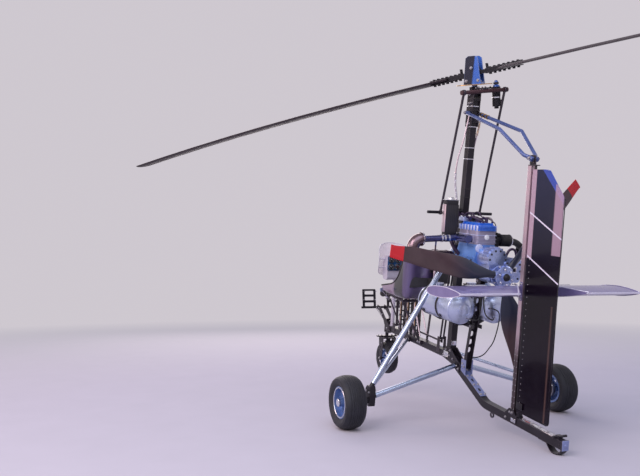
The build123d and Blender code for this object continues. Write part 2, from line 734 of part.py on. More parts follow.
# Engine bed between the mast and the aft post, on which four rubber mounts stand
bed_thickness = 8
bed_front_y = -76
bed_back_y = 230
mount_height = 20
with BuildPart() as engine_bed:
    with BuildSketch(Plane.XY.offset(bed_z - bed_thickness)):
        with Locations((0, (bed_front_y + bed_back_y) / 2)):
            RectangleRounded(190, bed_back_y - bed_front_y, 10)
        with Locations((0, 90)):
            RectangleRounded(80, 150, 12, mode=Mode.SUBTRACT)
    extrude(amount=bed_thickness)
    for side in (1, -1):
        side_plate(((-126, 1050), (-126, bed_z), (30, bed_z), (-60, 1050)), tube / 2 if side > 0 else -tube / 2 - 5, 5, 5)
        side_plate(((180, 1046), (172, bed_z), (229, bed_z), (229, 1046)), 27 if side > 0 else -27 - 5, 5, 5)
        round_tube((side * 30, mast_y(1085), 1085), (side * 42, mast_y(1085), 1085), 9)
        round_tube((side * 31, 203, 1080), (side * 43, 203, 1080), 9)
finish(engine_bed, "engine_bed")
mount_rows = ((72, -8), (-72, -8), (72, 206), (-72, 206))
with BuildPart() as engine_mounts:
    for mount_x, mount_y in mount_rows:
        round_tube((mount_x, mount_y, bed_z), (mount_x, mount_y, bed_z + mount_height), 18)
finish(engine_mounts, "engine_mounts")

# Two-cylinder engine: crankcase, flywheel housing at the front, cylinders with their ports
case_low_z = bed_z + mount_height
case_top_z = 1310
barrel_top_z = 1412
cylinder_rows = (48, 170)
with BuildPart() as engine_block:
    with BuildSketch(Plane.XZ.offset(-engine_rear_y)) as case_front:
        Polygon((-95, case_low_z), (95, case_low_z), (95, case_low_z + 74), (72, case_top_z), (-72, case_top_z),
                (-95, case_low_z + 74), align=None)
        fillet(case_front.vertices(), 12)
    extrude(amount=engine_rear_y + 8)
    with BuildSketch(Plane(origin=(0, -8, crank_z), x_dir=(1, 0, 0), z_dir=(0, -1, 0))):
        Circle(74)
    extrude(amount=30)
    with BuildSketch(Plane(origin=(0, -38, crank_z), x_dir=(1, 0, 0), z_dir=(0, -1, 0))):
        Circle(46)
    extrude(amount=8)
    for barrel_y in cylinder_rows:
        with BuildSketch(Plane.XY.offset(case_top_z - 6)):
            with Locations((0, barrel_y)):
                RectangleRounded(2 * engine_half, 116, 16)
        extrude(amount=barrel_top_z - case_top_z + 6)
        with BuildSketch(Plane.YZ.offset(engine_half - 6)):
            with Locations((barrel_y, 1352)):
                RectangleRounded(62, 54, 10)
        extrude(amount=22)
        with BuildSketch(Plane.YZ.offset(-engine_half + 6)):
            with Locations((barrel_y, 1345)):
                RectangleRounded(62, 46, 10)
        extrude(amount=-20)
finish(engine_block, "engine_block")

# Cylinder head with its cover bolts and coolant outlet, and the caps on its four plugs
with BuildPart() as cylinder_head:
    with BuildSketch(Plane.XY.offset(barrel_top_z)):
        with Locations((0, 109)):
            RectangleRounded(148, 244, 18)
    extrude(amount=38)
    with BuildSketch(Plane.XY.offset(barrel_top_z + 38)):
        with Locations((0, 109)):
            RectangleRounded(120, 214, 14)
    extrude(amount=18)
    with BuildSketch(Plane.XY.offset(barrel_top_z + 38)):
        with Locations((0, 109)):
            with GridLocations(134, 58, 2, 4):
                RegularPolygon(6, 6)
    extrude(amount=7)
    round_tube((0, -8, 1440), (0, -40, 1440), 17)
finish(cylinder_head, "cylinder_head")

plug_half_x = 28
with BuildPart() as plug_caps:
    for barrel_y in cylinder_rows:
        for plug_x in (-plug_half_x, plug_half_x):
            round_tube((plug_x, barrel_y, head_top_z + 0.2), (plug_x, barrel_y, head_top_z + 34), 12)
            round_tube((plug_x, barrel_y, head_top_z + 24), (plug_x + 30, barrel_y, head_top_z + 36), 9)
finish(plug_caps, "plug_caps")

# Reduction gearbox, from the crank down to the propeller shaft
gear_back_y = 372
cover_back_y = 397
casting_front_y = 290
casting_outline = ((30, 1230), (120, 1244), (204, 1222), (210, 1150), (184, 1070), (60, 1074))
casting_cover = ((56, 1214), (122, 1226), (188, 1208), (193, 1152), (172, 1090), (74, 1094))
shaft_radius = 20
with BuildPart() as gearbox:
    with BuildSketch(Plane(origin=(0, engine_rear_y, 0), x_dir=(-1, 0, 0), z_dir=(0, 1, 0))):
        with Locations((0, crank_z)):
            Circle(75)
        with Locations((0, prop_z)):
            Circle(62)
        with Locations((0, (crank_z + prop_z) / 2)):
            Rectangle(126, crank_z - prop_z)
        with Locations((0, prop_z)):
            Circle(shaft_radius + running_gap, mode=Mode.SUBTRACT)
    extrude(amount=gear_back_y - engine_rear_y)
    with BuildSketch(Plane(origin=(0, gear_back_y, 0), x_dir=(-1, 0, 0), z_dir=(0, 1, 0))):
        with Locations((0, prop_z)):
            Circle(48)
            Circle(shaft_radius + running_gap, mode=Mode.SUBTRACT)
    extrude(amount=cover_back_y - gear_back_y)
    with BuildSketch(Plane(origin=(0, 300, 0), x_dir=(-1, 0, 0), z_dir=(0, 1, 0))):
        with Locations((0, crank_z)):
            with PolarLocations(78, 9, start_angle=0, angular_range=180):
                Circle(9)
        with Locations((0, crank_z)):
            Circle(74, mode=Mode.SUBTRACT)
    extrude(amount=60)
    for outline, front_y, back_y, corner in ((casting_outline, casting_front_y, gear_back_y, 22),
                                             (casting_cover, gear_back_y, gear_back_y + 12, 14)):
        with BuildSketch(Plane(origin=(0, front_y, 0), x_dir=(-1, 0, 0), z_dir=(0, 1, 0))) as casting:
            Polygon(*outline, align=None)
            fillet(casting.vertices(), corner)
        extrude(amount=back_y - front_y)
finish(gearbox, "gearbox")

# Carburettors on the starboard side, each with its bowl and filter
with BuildPart() as carburettors:
    for barrel_y in cylinder_rows:
        centre_y = barrel_y - 8
        round_tube((-91, centre_y, 1345), (-152, centre_y, 1345), 22)
        round_tube((-120, centre_y, 1296), (-120, centre_y, 1345), 24)
        round_tube((-150, centre_y, 1345), (-240, centre_y, 1345), 40)
        round_tube((-240, centre_y, 1345), (-248, centre_y, 1345), 30)
        round_tube((-120, centre_y, 1345), (-120, centre_y, 1392), 14)
finish(carburettors, "carburettors")

# Exhaust on the port side: two stubs, a collector, a straight pipe outward and an elbow down to the silencer
pipe_radius = 23
pipe_y = 60
pipe_end_x = 410
elbow_radius = 44
can_radius = 60
can_end_x = 190
can_z = 1196
collector_x = 128
port_z = 1352
pipe_points = ((collector_x, pipe_y, port_z), (pipe_end_x, pipe_y - 10, 1334))
elbow_points = (pipe_points[1], (505, pipe_y - 10, 1330), (505, pipe_y - 10, can_z), (400, pipe_y - 10, can_z))
with BuildPart() as exhaust:
    for barrel_y in cylinder_rows:
        round_tube((engine_half + 16, barrel_y, port_z), (collector_x, barrel_y, port_z), 24)
    round_tube((collector_x, 20, port_z), (collector_x, 198, port_z), 27)
    round_tube(*pipe_points, pipe_radius)
    round_tube((pipe_end_x - 2, pipe_y - 10, 1334), (pipe_end_x + 12, pipe_y - 10, 1334), elbow_radius + 3)
    round_tube((214, pipe_y - 3, 1346.5), (230, pipe_y - 3, 1345.5), pipe_radius + 4)
    with BuildLine() as bend:
        Bezier(*elbow_points)
    with BuildSketch(Plane(origin=bend.line @ 0, z_dir=bend.line % 0)):
        Circle(elbow_radius)
    sweep(path=bend.line)
    round_tube((404, pipe_y - 10, can_z), (can_end_x, pipe_y - 10, can_z), can_radius)
    with Locations((can_end_x, pipe_y - 10, can_z)):
        Sphere(can_radius)
    round_tube((300, pipe_y - 6, 1322), (300, pipe_y - 10, can_z + can_radius - 4), 6)
finish(exhaust, "exhaust_silencer")

# Radiator on the mast's port side, with its cap and its two brackets
radiator_x = 139
radiator_y = -40
radiator_low_z = 1352
radiator_top_z = 1614
radiator_half = 54
header_height = 28
bracket_rows = (1420, 1535)
with BuildPart() as radiator:
    with BuildSketch(Plane.XY.offset(radiator_low_z + header_height - 12)):
        with Locations((radiator_x, radiator_y)):
            RectangleRounded(2 * radiator_half - 6, 40, 5)
    extrude(amount=radiator_top_z - radiator_low_z - 2 * header_height + 24)
    for header_z in (radiator_low_z, radiator_top_z - header_height):
        with BuildSketch(Plane.XY.offset(header_z)):
            with Locations((radiator_x, radiator_y)):
                RectangleRounded(2 * radiator_half, 50, 14)
        extrude(amount=header_height)
    round_tube((radiator_x, radiator_y, radiator_top_z - 2), (radiator_x, radiator_y, radiator_top_z + 20), 17)
    for z in bracket_rows:
        bracket_end = radiator_x - radiator_half + 6
        with BuildSketch(Plane.XY.offset(z)):
            with Locations(((tube / 2 + bracket_end) / 2, mast_y(z) + 8)):
                Rectangle(bracket_end - tube / 2, 26)
            with Locations((bracket_end - 10, mast_y(z) + 26)):
                Rectangle(20, 40)
        extrude(amount=12)
finish(radiator, "radiator")

# Propeller: hub plates with blade clamps, and three twisted blades
prop_centre = Vector(0, prop_y, prop_z)
hub_front_y = prop_y - 29
hub_back_y = prop_y + 29
blade_start = 76
with BuildPart() as prop_hub:
    round_tube((0, gear_back_y - 60, prop_z), (0, hub_front_y, prop_z), shaft_radius)
    round_tube((0, cover_back_y + 5, prop_z), (0, hub_front_y, prop_z), 45)
    round_tube((0, hub_front_y, prop_z), (0, hub_front_y + 10, prop_z), 73)
    round_tube((0, hub_back_y - 10, prop_z), (0, hub_back_y, prop_z), 70)
    round_tube((0, hub_front_y + 10, prop_z), (0, hub_back_y - 10, prop_z), 36)
    round_tube((0, hub_back_y, prop_z), (0, hub_back_y + 14, prop_z), 26)
    for angle in prop_angles:
        along = Vector(-cos(radians(angle)), 0, sin(radians(angle)))
        round_tube(tuple(prop_centre), tuple(prop_centre + along * blade_start), 27)
    with BuildSketch(Plane(origin=(0, hub_back_y, prop_z), x_dir=(-1, 0, 0), z_dir=(0, 1, 0))):
        with PolarLocations(52, 6, start_angle=prop_angles[0] + 30):
            RegularPolygon(9, 6)
    extrude(amount=8)
finish(prop_hub, "propeller_hub")

blade_stations = (
    # radius, chord, thickness, pitch in degrees
    (blade_start, 50, 46, 40),
    (130, 66, 40, 40),
    (250, 136, 30, 34),
    (380, 156, 22, 26),
    (580, 128, 15, 19),
    (770, 98, 10, 14),
    (prop_radius, 82, 6, 12),
)
with BuildPart() as prop_blades:
    for angle in prop_angles:
        along = Vector(-cos(radians(angle)), 0, sin(radians(angle)))
        around = Vector(sin(radians(angle)), 0, cos(radians(angle)))
        for radius, chord, thickness, pitch in blade_stations:
            wide = around * cos(radians(pitch)) + Vector(0, 1, 0) * sin(radians(pitch))
            with BuildSketch(Plane(origin=prop_centre + along * radius, x_dir=wide, z_dir=along)):
                Ellipse(chord / 2, thickness / 2)
        loft()
finish(prop_blades, "propeller_blades")

# Fuel tanks: two hollow cylinders with stepped, domed ends and a filler cap each
tank_wall = 3
dome_depth = 34
with BuildPart() as fuel_tanks:
    for side in (1, -1):
        centre = (side * tank_offset, 0, tank_z)
        with BuildSketch(Plane(origin=centre)):
            for shrink, mode in ((0, Mode.ADD), (tank_wall, Mode.SUBTRACT)):
                front = tank_front_y + shrink
                rear = tank_rear_y - shrink
                radius = tank_radius - shrink
                with BuildLine() as outline:
                    nose_dome = TangentArc((0, front), (radius - 9, front + dome_depth), tangent=(1, 0))
                    body = Polyline(nose_dome @ 1, (radius - 3, front + dome_depth + 4), (radius - 3, front + dome_depth + 16),
                                    (radius, front + dome_depth + 19), (radius, rear - dome_depth - 19),
                                    (radius - 3, rear - dome_depth - 16), (radius - 3, rear - dome_depth - 4),
                                    (radius - 9, rear - dome_depth))
                    tail_dome = TangentArc((0, rear), body @ 1, tangent=(1, 0))
                    Line(tail_dome @ 0, nose_dome @ 0)
                make_face(mode=mode)
        revolve(axis=Axis(centre, (0, 1, 0)))
        neck_y = tank_front_y + 150
        neck_z = tank_z + tank_radius
        round_tube((side * tank_offset, neck_y, neck_z - tank_wall), (side * tank_offset, neck_y, neck_z + 14), 30)
        round_tube((side * tank_offset, neck_y, neck_z + 14), (side * tank_offset, neck_y, neck_z + 32), 37)
finish(fuel_tanks, "fuel_tanks")

# Cradle rails bolted to the mast and the aft post, with four saddles, and the straps round the tanks
rail_low_z = 715
rail_top_z = 742
rail_inner_x = 27
saddle_rows = (-182, 52)
with BuildPart() as tank_cradle:
    for side in (1, -1):
        side_plate(((-240, rail_low_z), (-240, rail_top_z), (192, rail_top_z), (192, rail_low_z)),
                   rail_inner_x if side > 0 else -rail_inner_x - 8, 8, 0)
        round_tube((side * tube / 2, mast_y(728), 728), (side * (rail_inner_x + 14), mast_y(728), 728), 9)
        for saddle_y in saddle_rows:
            with BuildSketch(Plane.XZ.offset(-saddle_y)) as saddle:
                Polygon((side * rail_inner_x, rail_low_z), (side * 90, rail_low_z), (side * 236, 790), (side * 236, 826),
                        (side * rail_inner_x, 800), align=None)
                with Locations((side * tank_offset, tank_z)):
                    Circle(tank_radius, mode=Mode.SUBTRACT)
            extrude(amount=-8)
finish(tank_cradle, "tank_cradle")
strap_rows = (-212, 20)
with BuildPart() as tank_straps:
    for side in (1, -1):
        for strap_y in strap_rows:
            collar((side * tank_offset, strap_y, tank_z), (0, 1, 0), tank_radius, tank_radius + 2.2, 24)
            round_tube((side * (tank_offset - 12), strap_y, tank_z + tank_radius + 8),
                       (side * (tank_offset + 12), strap_y, tank_z + tank_radius + 8), 7)
finish(tank_straps, "tank_straps")

# Bucket seat, its pads and the frame that carries it
seat_half = 190
seat_wall = 12
seat_outer = ((-548, 1190), (-566, 818), (-640, 778), (-985, 802), (-992, 856), (-800, 892), (-706, 960), (-652, 1060),
              (-606, 1198))
seat_inner = ((-562, 1220), (-582, 842), (-646, 796), (-1020, 822), (-1020, 950), (-700, 1220))
with BuildPart() as seat_shell:
    with BuildSketch(Plane.YZ.offset(-seat_half)) as profile:
        Polygon(*seat_outer, align=None)
        fillet(profile.vertices().group_by(Axis.Y)[1:], 8)
    extrude(amount=2 * seat_half)
    fillet(seat_shell.edges().filter_by(Axis.Z, tolerance=6).group_by(Axis.Y)[-1], 30)
    side_void = 2 * (seat_half - seat_wall)
    with BuildSketch(Plane.YZ.offset(-side_void / 2)) as hollow:
        Polygon(*seat_inner, align=None)
    extrude(amount=side_void, mode=Mode.SUBTRACT)
finish(seat_shell, "seat_shell")

pad_half = 172
with BuildPart() as seat_pads:
    side_plate(((-564.2, 1184), (-581.2, 862), (-628, 880), (-606, 1178)), -pad_half, 2 * pad_half, 8)
    side_plate(((-652, 796.8), (-975, 819.3), (-975, 858), (-660, 846)), -pad_half, 2 * pad_half, 8)
finish(seat_pads, "seat_pads")

seat_posts = ((-930, 797), (-805, 788.3), (-680, 779))
rung_heights = (560, 640, 720)
with BuildPart() as seat_frame:
    for post_y, top_z in seat_posts:
        with BuildSketch(Plane.XY.offset(keel_top)):
            with Locations((19, post_y), (-19, post_y)):
                Rectangle(12, 30)
        extrude(amount=top_z - keel_top)
        for rung_z in rung_heights:
            round_tube((-16, post_y, rung_z), (16, post_y, rung_z), 6)
        round_tube((-150, post_y, top_z - 12), (150, post_y, top_z - 12), 12)
    for side in (1, -1):
        round_tube((side * 140, -930, 785), (side * 140, -680, 767), 11)
        round_tube((side * 140, -690, 768), (side * 34, -560, keel_top - 14), 9)
        side_plate(((-585, 436), (-535, 436), (-535, 470), (-585, 470)), tube / 2 if side > 0 else -tube / 2 - 14, 14, 4)
finish(seat_frame, "seat_frame")

# Instrument pod on a column ahead of the stick, and the curved windscreen round it
pod_front_y = -1190
pod_back_y = -1084
pod_half = 92
screen_radius = 165
screen_centre_y = -1080
screen_thickness = 3
screen_spread = 75
stay_rows = ((-1140, 985), (-1140, 1060))
panel_z = 1030
panel_height = 134
screen_low_z = 905
screen_height = 290
with BuildPart() as instrument_pod:
    with BuildSketch(Plane.YZ.offset(-pod_half)) as pod_side:
        Polygon((pod_back_y, 880), (pod_back_y, 1095), (pod_front_y + 40, 1080), (pod_front_y, 1010), (pod_front_y + 24, 880),
                align=None)
        fillet(pod_side.vertices().group_by(Axis.Y)[0], 30)
    extrude(amount=2 * pod_half)
    round_tube((0, -1112, keel_top), (0, -1112, 890), 17)
    round_tube((0, -1112, keel_top), (0, -1112, keel_top + 6), 25)
    with BuildSketch(Plane(origin=(0, pod_back_y, 0), x_dir=(-1, 0, 0), z_dir=(0, 1, 0))):
        with Locations((0, panel_z)):
            RectangleRounded(2 * pod_half + 8, panel_height, 12)
    extrude(amount=5)
    with BuildSketch(Plane(origin=(0, pod_back_y + 5, 0), x_dir=(-1, 0, 0), z_dir=(0, 1, 0))):
        with Locations((0, panel_z)):
            with GridLocations(62, 62, 3, 2):
                Circle(27)
    extrude(amount=8)
    for stay_y, stay_z in stay_rows:
        inner = sqrt((screen_radius - screen_thickness) ** 2 - (stay_y - 5 - screen_centre_y) ** 2)
        for side in (1, -1):
            round_tube((side * (pod_half - 4), stay_y, stay_z), (side * inner, stay_y, stay_z), 5)
finish(instrument_pod, "instrument_pod")

with BuildPart() as windscreen:
    with BuildSketch(Plane.XY.offset(screen_low_z)):
        with BuildLine() as screen_line:
            CenterArc((0, screen_centre_y), screen_radius, 270 - screen_spread, 2 * screen_spread)
            CenterArc((0, screen_centre_y), screen_radius - screen_thickness, 270 - screen_spread, 2 * screen_spread)
            for angle in (270 - screen_spread, 270 + screen_spread):
                Line((screen_radius * cos(radians(angle)), screen_centre_y + screen_radius * sin(radians(angle))),
                     ((screen_radius - screen_thickness) * cos(radians(angle)),
                      screen_centre_y + (screen_radius - screen_thickness) * sin(radians(angle))))
        make_face()
    extrude(amount=screen_height)
finish(windscreen, "windscreen")

# Tail braces from the mast's top to the fin's top, bowed outward round the propeller's arc
brace_tube = 12.5
with BuildPart() as tail_braces:
    for side in (1, -1):
        with BuildLine() as brace_line:
            FilletPolyline((side * 55, -44, 2247), (side * 88, 418, 2100), (side * 46, 635, 1929), (side * 15, 677, 1909),
                           radius=24)
        with BuildSketch(Plane(origin=brace_line.line @ 0, z_dir=brace_line.line % 0)) as bore:
            Circle(brace_tube)
        sweep(path=brace_line.line)
        round_tube((side * (tube / 2 + plate), -44, 2247), (side * 70, -44, 2247), 13)
    round_tube((-34, 677, 1909), (34, 677, 1909), 7)
finish(tail_braces, "tail_braces")

# Fin: a D-nosed post on the tail boom
fin_rear_y = hinge_y - 17 - rudder_gap
with BuildPart() as fin:
    with BuildSketch(Plane.XY.offset(fin_low_z)):
        with Locations((0, fin_front_y + fin_thickness / 2)):
            Circle(fin_thickness / 2)
        with Locations((0, (fin_front_y + fin_thickness / 2 + fin_rear_y) / 2)):
            Rectangle(fin_thickness, fin_rear_y - fin_front_y - fin_thickness / 2)
    extrude(amount=fin_top_z - fin_low_z)
finish(fin, "fin")

with BuildPart() as fin_fittings:
    # foot plates on the tail boom with spacers against the fin, and the lower rudder pin
    for side in (1, -1):
        side_plate(((600, 202), (600, 246), (646, 292), (684, 292), (722, 246), (722, 202)),
                   tube / 2 if side > 0 else -tube / 2 - 4, 4, 6)
        side_plate(((650, 252), (650, 286), (682, 286), (682, 252)), fin_thickness / 2 if side > 0 else -tube / 2,
                   (tube - fin_thickness) / 2, 0)
    with BuildSketch(Plane.XY.offset(tail_top)):
        with Locations((0, 705)):
            Rectangle(tube, 32)
    extrude(amount=10)
    round_tube((0, hinge_y, tail_top + 10), (0, hinge_y, rudder_low_z - 1.5), 15)
    round_tube((0, hinge_y, tail_top + 10), (0, hinge_y, rudder_low_z + 30), 8)
    # cap on the fin with the upper rudder pin and the plate that the braces bolt to
    with BuildSketch(Plane.XY.offset(fin_top_z)):
        with Locations((0, 687)):
            RectangleRounded(fin_thickness + 4, 84, 10)
    extrude(amount=6)
    round_tube((0, hinge_y, fin_top_z), (0, hinge_y, rudder_top_z - 26), 8)
    side_plate(((650, fin_top_z + 4), (704, fin_top_z + 4), (694, 1926), (660, 1926)), -4, 8, 6)
    with Locations(Location((0, 677, 1909), (0, 90, 0))):
        Cylinder(7.05, 40, mode=Mode.SUBTRACT)
finish(fin_fittings, "fin_fittings")

# Rudder: a hollow-nosed section cut to its outline, with bores for the two pins
rudder_outline = ((hinge_y - 17, rudder_low_z), (994, 290), (1000, 300), (986, 1674), (838, 1832), (812, rudder_top_z),
                  (hinge_y - 17, rudder_top_z))
with BuildPart() as rudder:
    with BuildSketch(Plane.XY.offset(rudder_low_z)) as foil:
        with BuildLine():
            nose_arc = CenterArc((0, hinge_y), 17, 180, 180)
            Polyline(nose_arc @ 0, (-2, hinge_y + rudder_chord), (2, hinge_y + rudder_chord), nose_arc @ 1)
        make_face()
    extrude(amount=rudder_top_z - rudder_low_z)
    with BuildSketch(Plane.YZ.offset(-40)) as side_view:
        Polygon(*rudder_outline, align=None)
    extrude(amount=80, mode=Mode.INTERSECT)
    for z in (rudder_low_z, rudder_top_z - 30):
        with BuildSketch(Plane.XY.offset(z - 1)):
            with Locations((0, hinge_y)):
                Circle(8 + running_gap)
        extrude(amount=34, mode=Mode.SUBTRACT)
finish(rudder, "rudder")

# Stabiliser: one wing through the tail ahead of the fin, notched for the rudder, with flush end ribs
notch_outline = ((-38, 34), (38, 34), (52, 84), (262, stab_chord + 20), (-262, stab_chord + 20), (-52, 84))
stab_plane = Plane(Location((0, stab_front_y, stab_front_z)) * Rotation(stab_pitch, 0, 0))
with BuildPart() as stabiliser:
    foil_plane = Plane(origin=stab_plane.from_local_coords((-stab_span / 2, 0, 0)), x_dir=stab_plane.y_dir,
                       z_dir=stab_plane.x_dir)
    with BuildSketch(foil_plane) as foil:
        wing_section(stab_chord, stab_thickness, 4, 0.42)
    extrude(amount=stab_span)
    with BuildSketch(stab_plane.offset(-60)) as notch:
        Polygon(*notch_outline, align=None)
    extrude(amount=120, mode=Mode.SUBTRACT)
    for side in (1, -1):
        cap_plane = Plane(origin=stab_plane.from_local_coords((side * stab_span / 2, -2, 0)), x_dir=stab_plane.y_dir,
                          z_dir=stab_plane.x_dir)
        with BuildSketch(cap_plane) as cap:
            wing_section(stab_chord + 4, stab_thickness + 4, 8, 0.42)
        extrude(amount=side * 3)
    for side in (1, -1):
        side_plate(((652, 1000), (652, 1120), (681, 1120), (681, 1000)), fin_thickness / 2 if side > 0 else -fin_thickness / 2 - 3,
                   3, 4)
        with BuildSketch(Plane.XY.offset(1040)):
            with Locations((side * (fin_thickness / 2 + 16), 666)):
                Rectangle(32, 28)
        extrude(amount=5)
finish(stabiliser, "stabiliser")

# Tail skid under the boom's end, and the tie-down eye ahead of it
skid_front_y = 940
keel_under = tail_z - tube / 2
with BuildPart() as tail_skid:
    inner_radius = skid_radius - skid_thickness
    outer_end = sqrt(skid_radius ** 2 - (heel_z - keel_under) ** 2)
    inner_end = sqrt(inner_radius ** 2 - (heel_z - keel_under) ** 2)
    lean = 1 / sqrt(2)
    outer_foot = (heel_y - skid_radius * lean, heel_z - skid_radius * lean)
    inner_foot = (heel_y - inner_radius * lean, heel_z - inner_radius * lean)
    drop = keel_under - skid_thickness
    with BuildSketch(Plane.YZ.offset(-skid_width / 2)) as skid_side:
        with BuildLine():
            Polyline((heel_y + inner_end, keel_under), (heel_y + outer_end, keel_under))
            ThreePointArc((heel_y + outer_end, keel_under), (heel_y + skid_radius * sin(radians(10)),
                          heel_z - skid_radius * cos(radians(10))), outer_foot)
            Polyline(outer_foot, (outer_foot[0] - (drop - outer_foot[1]), drop), (skid_front_y, drop),
                     (skid_front_y, keel_under), (inner_foot[0] - (keel_under - inner_foot[1]), keel_under), inner_foot)
            ThreePointArc(inner_foot, (heel_y + inner_radius * sin(radians(10)), heel_z - inner_radius * cos(radians(10))),
                          (heel_y + inner_end, keel_under))
        make_face()
    extrude(amount=skid_width)
    side_plate(((1144, 192), (1144, keel_under - 0.3), (keel_rear_y + 0.3, keel_under - 0.3), (keel_rear_y + 0.3, 254),
                (keel_rear_y + 5, 254), (keel_rear_y + 5, 192)), -skid_width / 2, skid_width, 0)
    # crossbar on the boom over the skid
    with BuildSketch(Plane.XY.offset(tail_top)):
        with Locations((0, 1100)):
            RectangleRounded(34, 30, 5)
    extrude(amount=20)
    round_tube((-52, 1100, tail_top + 12), (52, 1100, tail_top + 12), 8)
    # tie-down eye
    with BuildSketch(Plane.YZ.offset(-4)) as eye:
        with Locations((430, keel_under - 26)):
            Circle(20)
        with Locations((430, keel_under - 10)):
            Rectangle(24, 20)
        with Locations((430, keel_under - 26)):
            Circle(11, mode=Mode.SUBTRACT)
    extrude(amount=8)
finish(tail_skid, "tail_skid")
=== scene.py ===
import bpy
from math import atan2, cos, pi, radians, sin, sqrt, tan
from mathutils import Matrix, Vector


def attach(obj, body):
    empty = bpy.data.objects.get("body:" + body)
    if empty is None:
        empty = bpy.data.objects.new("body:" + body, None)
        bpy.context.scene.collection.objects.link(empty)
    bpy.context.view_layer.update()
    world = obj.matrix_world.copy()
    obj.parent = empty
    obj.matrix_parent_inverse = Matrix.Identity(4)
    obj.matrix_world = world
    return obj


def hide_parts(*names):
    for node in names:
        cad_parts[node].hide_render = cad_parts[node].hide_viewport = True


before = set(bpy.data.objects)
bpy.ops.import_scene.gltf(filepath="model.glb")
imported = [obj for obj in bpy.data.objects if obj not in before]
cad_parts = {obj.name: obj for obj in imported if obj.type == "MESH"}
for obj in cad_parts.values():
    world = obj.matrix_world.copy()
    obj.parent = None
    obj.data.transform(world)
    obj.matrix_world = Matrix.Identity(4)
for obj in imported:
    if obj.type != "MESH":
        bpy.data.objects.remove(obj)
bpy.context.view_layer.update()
scene = bpy.context.scene
scene.view_settings.view_transform = "Standard"


# The photograph's view
camera_place = Vector((2.85114, 4.23094, 1.0514))
camera_yaw = 0.3690
camera_pitch = 0.0555
camera_lens = 39.414
level_reach = cos(camera_pitch)
gaze = Vector((-sin(camera_yaw) * level_reach, -cos(camera_yaw) * level_reach, sin(camera_pitch)))
camera_data = bpy.data.cameras.new("photo_camera")
camera_data.sensor_width = 36
camera_data.lens = camera_lens
camera = bpy.data.objects.new("photo_camera", camera_data)
camera.location = camera_place
camera.rotation_euler = gaze.to_track_quat("-Z", "Y").to_euler()
scene.collection.objects.link(camera)
scene.camera = camera


# The craft's own level frame, in millimetres: x to port, y aft of the main axle, z up
port, starboard, aft, ahead, up = (1, 0, 0), (-1, 0, 0), (0, 1, 0), (0, -1, 0), (0, 0, 1)
sides = (1, -1)
to_metres = Matrix.Diagonal((0.001, 0.001, 0.001, 1.0))
to_millimetres = Matrix.Diagonal((1000, 1000, 1000, 1))
park_sin, park_cos = 0.13794048, 0.99044052
axle_height = 185.0
middle_x, middle_y = 9.257, -285.225
parked = Matrix(((1, 0, 0, 0), (0, park_cos, park_sin, 0), (0, -park_sin, park_cos, 0), (0, 0, 0, 1)))
to_scene = (to_metres @ Matrix.Translation((middle_x, middle_y, axle_height))
            @ parked @ Matrix.Translation((0, 0, -axle_height)))
from_scene = to_scene.inverted()
level_rows = [(tuple(from_scene[axis][:3]), from_scene[axis][3]) for axis in range(3)]
head_place = (0, -42, 2384)
head_frame = (Matrix.Translation(head_place) @ Matrix.Rotation(radians(-4.5), 4, "X")
              @ Matrix.Rotation(radians(9.0), 4, "Y"))
spun_frame = head_frame @ Matrix.Rotation(radians(-54.3), 4, "Z")
bolt_height = 185.0
mast_foot_y, keel_top = -135, 470.4
mast_tilt = atan2(93.0, head_place[2] - keel_top)
tube_half = 25.4
drop_start_y, drop_start_z = -127, 445
drop_tilt = atan2(223.0, 480.0)
tail_top = 247.4
hinge_y = 706.0
prop_y, prop_z, prop_radius = 441.0, 1122.0, 866.0
tip_start = prop_radius - 95.0
tank_x, tank_z, tank_radius = 141.0, 858.0, 108.0
strap_places = (-212, 20)
rudder_slant = ((838.0, 1832.0), (986.0, 1674.0))
rudder_pinstripes = (((715.0, 1562.0), (991.0, 1421.0)), ((725.0, 1284.0), (993.0, 1151.0)))
pinstripe_half = 4.5


def craft(place):
    """A place of the craft's own level frame, in the scene's metres."""
    return to_scene @ Vector(place)


def mast_y(z):
    """The mast's middle line at a height."""
    return mast_foot_y + (z - keel_top) * tan(mast_tilt)


def mast_frame(z):
    """A frame on the mast's middle line: z up the mast, x to port, y aft."""
    return Matrix.Translation((0, mast_y(z), z)) @ Matrix.Rotation(-mast_tilt, 4, "X")


def drop_frame(y):
    """A frame on top of the sloping keel: z square to it, y down it."""
    height = drop_start_z - (y - drop_start_y) * tan(drop_tilt) + tube_half / cos(drop_tilt)
    return Matrix.Translation((0, y, height)) @ Matrix.Rotation(-drop_tilt, 4, "X")


# Materials; every colour is in thousandths of full red, green and blue
def rgba(colour):
    """A solid colour as a socket takes it."""
    return (*[part / 1000 for part in colour], 1)


class Socket:
    """An output socket of a node tree, on which sums are written as Python expressions."""

    def __init__(self, tree, output):
        self.tree = tree
        self.output = output

    def math(self, operation, *values):
        sockets = dict(enumerate((self,) + values))
        return make_node(self.tree, "Math", {"operation": operation}, sockets)

    def __add__(self, other):
        return self.math("ADD", other)

    def __sub__(self, other):
        return self.math("SUBTRACT", other)

    def __rsub__(self, other):
        return self * -1.0 + other

    def __mul__(self, other):
        return self.math("MULTIPLY", other)

    def __gt__(self, other):
        return self.math("GREATER_THAN", other)

    def __lt__(self, other):
        return self.math("LESS_THAN", other)

    def clamp(self, low=0.0, high=1.0):
        return self.math("MAXIMUM", low).math("MINIMUM", high)

    def wave(self):
        """The value's sine, from 0 to 1."""
        return self.math("SINE") * 0.5 + 0.5

    def hill(self):
        """1 where the value is 0, falling to 0 at 1 and -1."""
        return (1.0 - self.math("ABSOLUTE")).clamp()


def feed(tree, target, value):
    """Link a socket's value to a target, or set a plain value on it."""
    if isinstance(value, Socket):
        tree.links.new(value.output, target)
    else:
        target.default_value = value


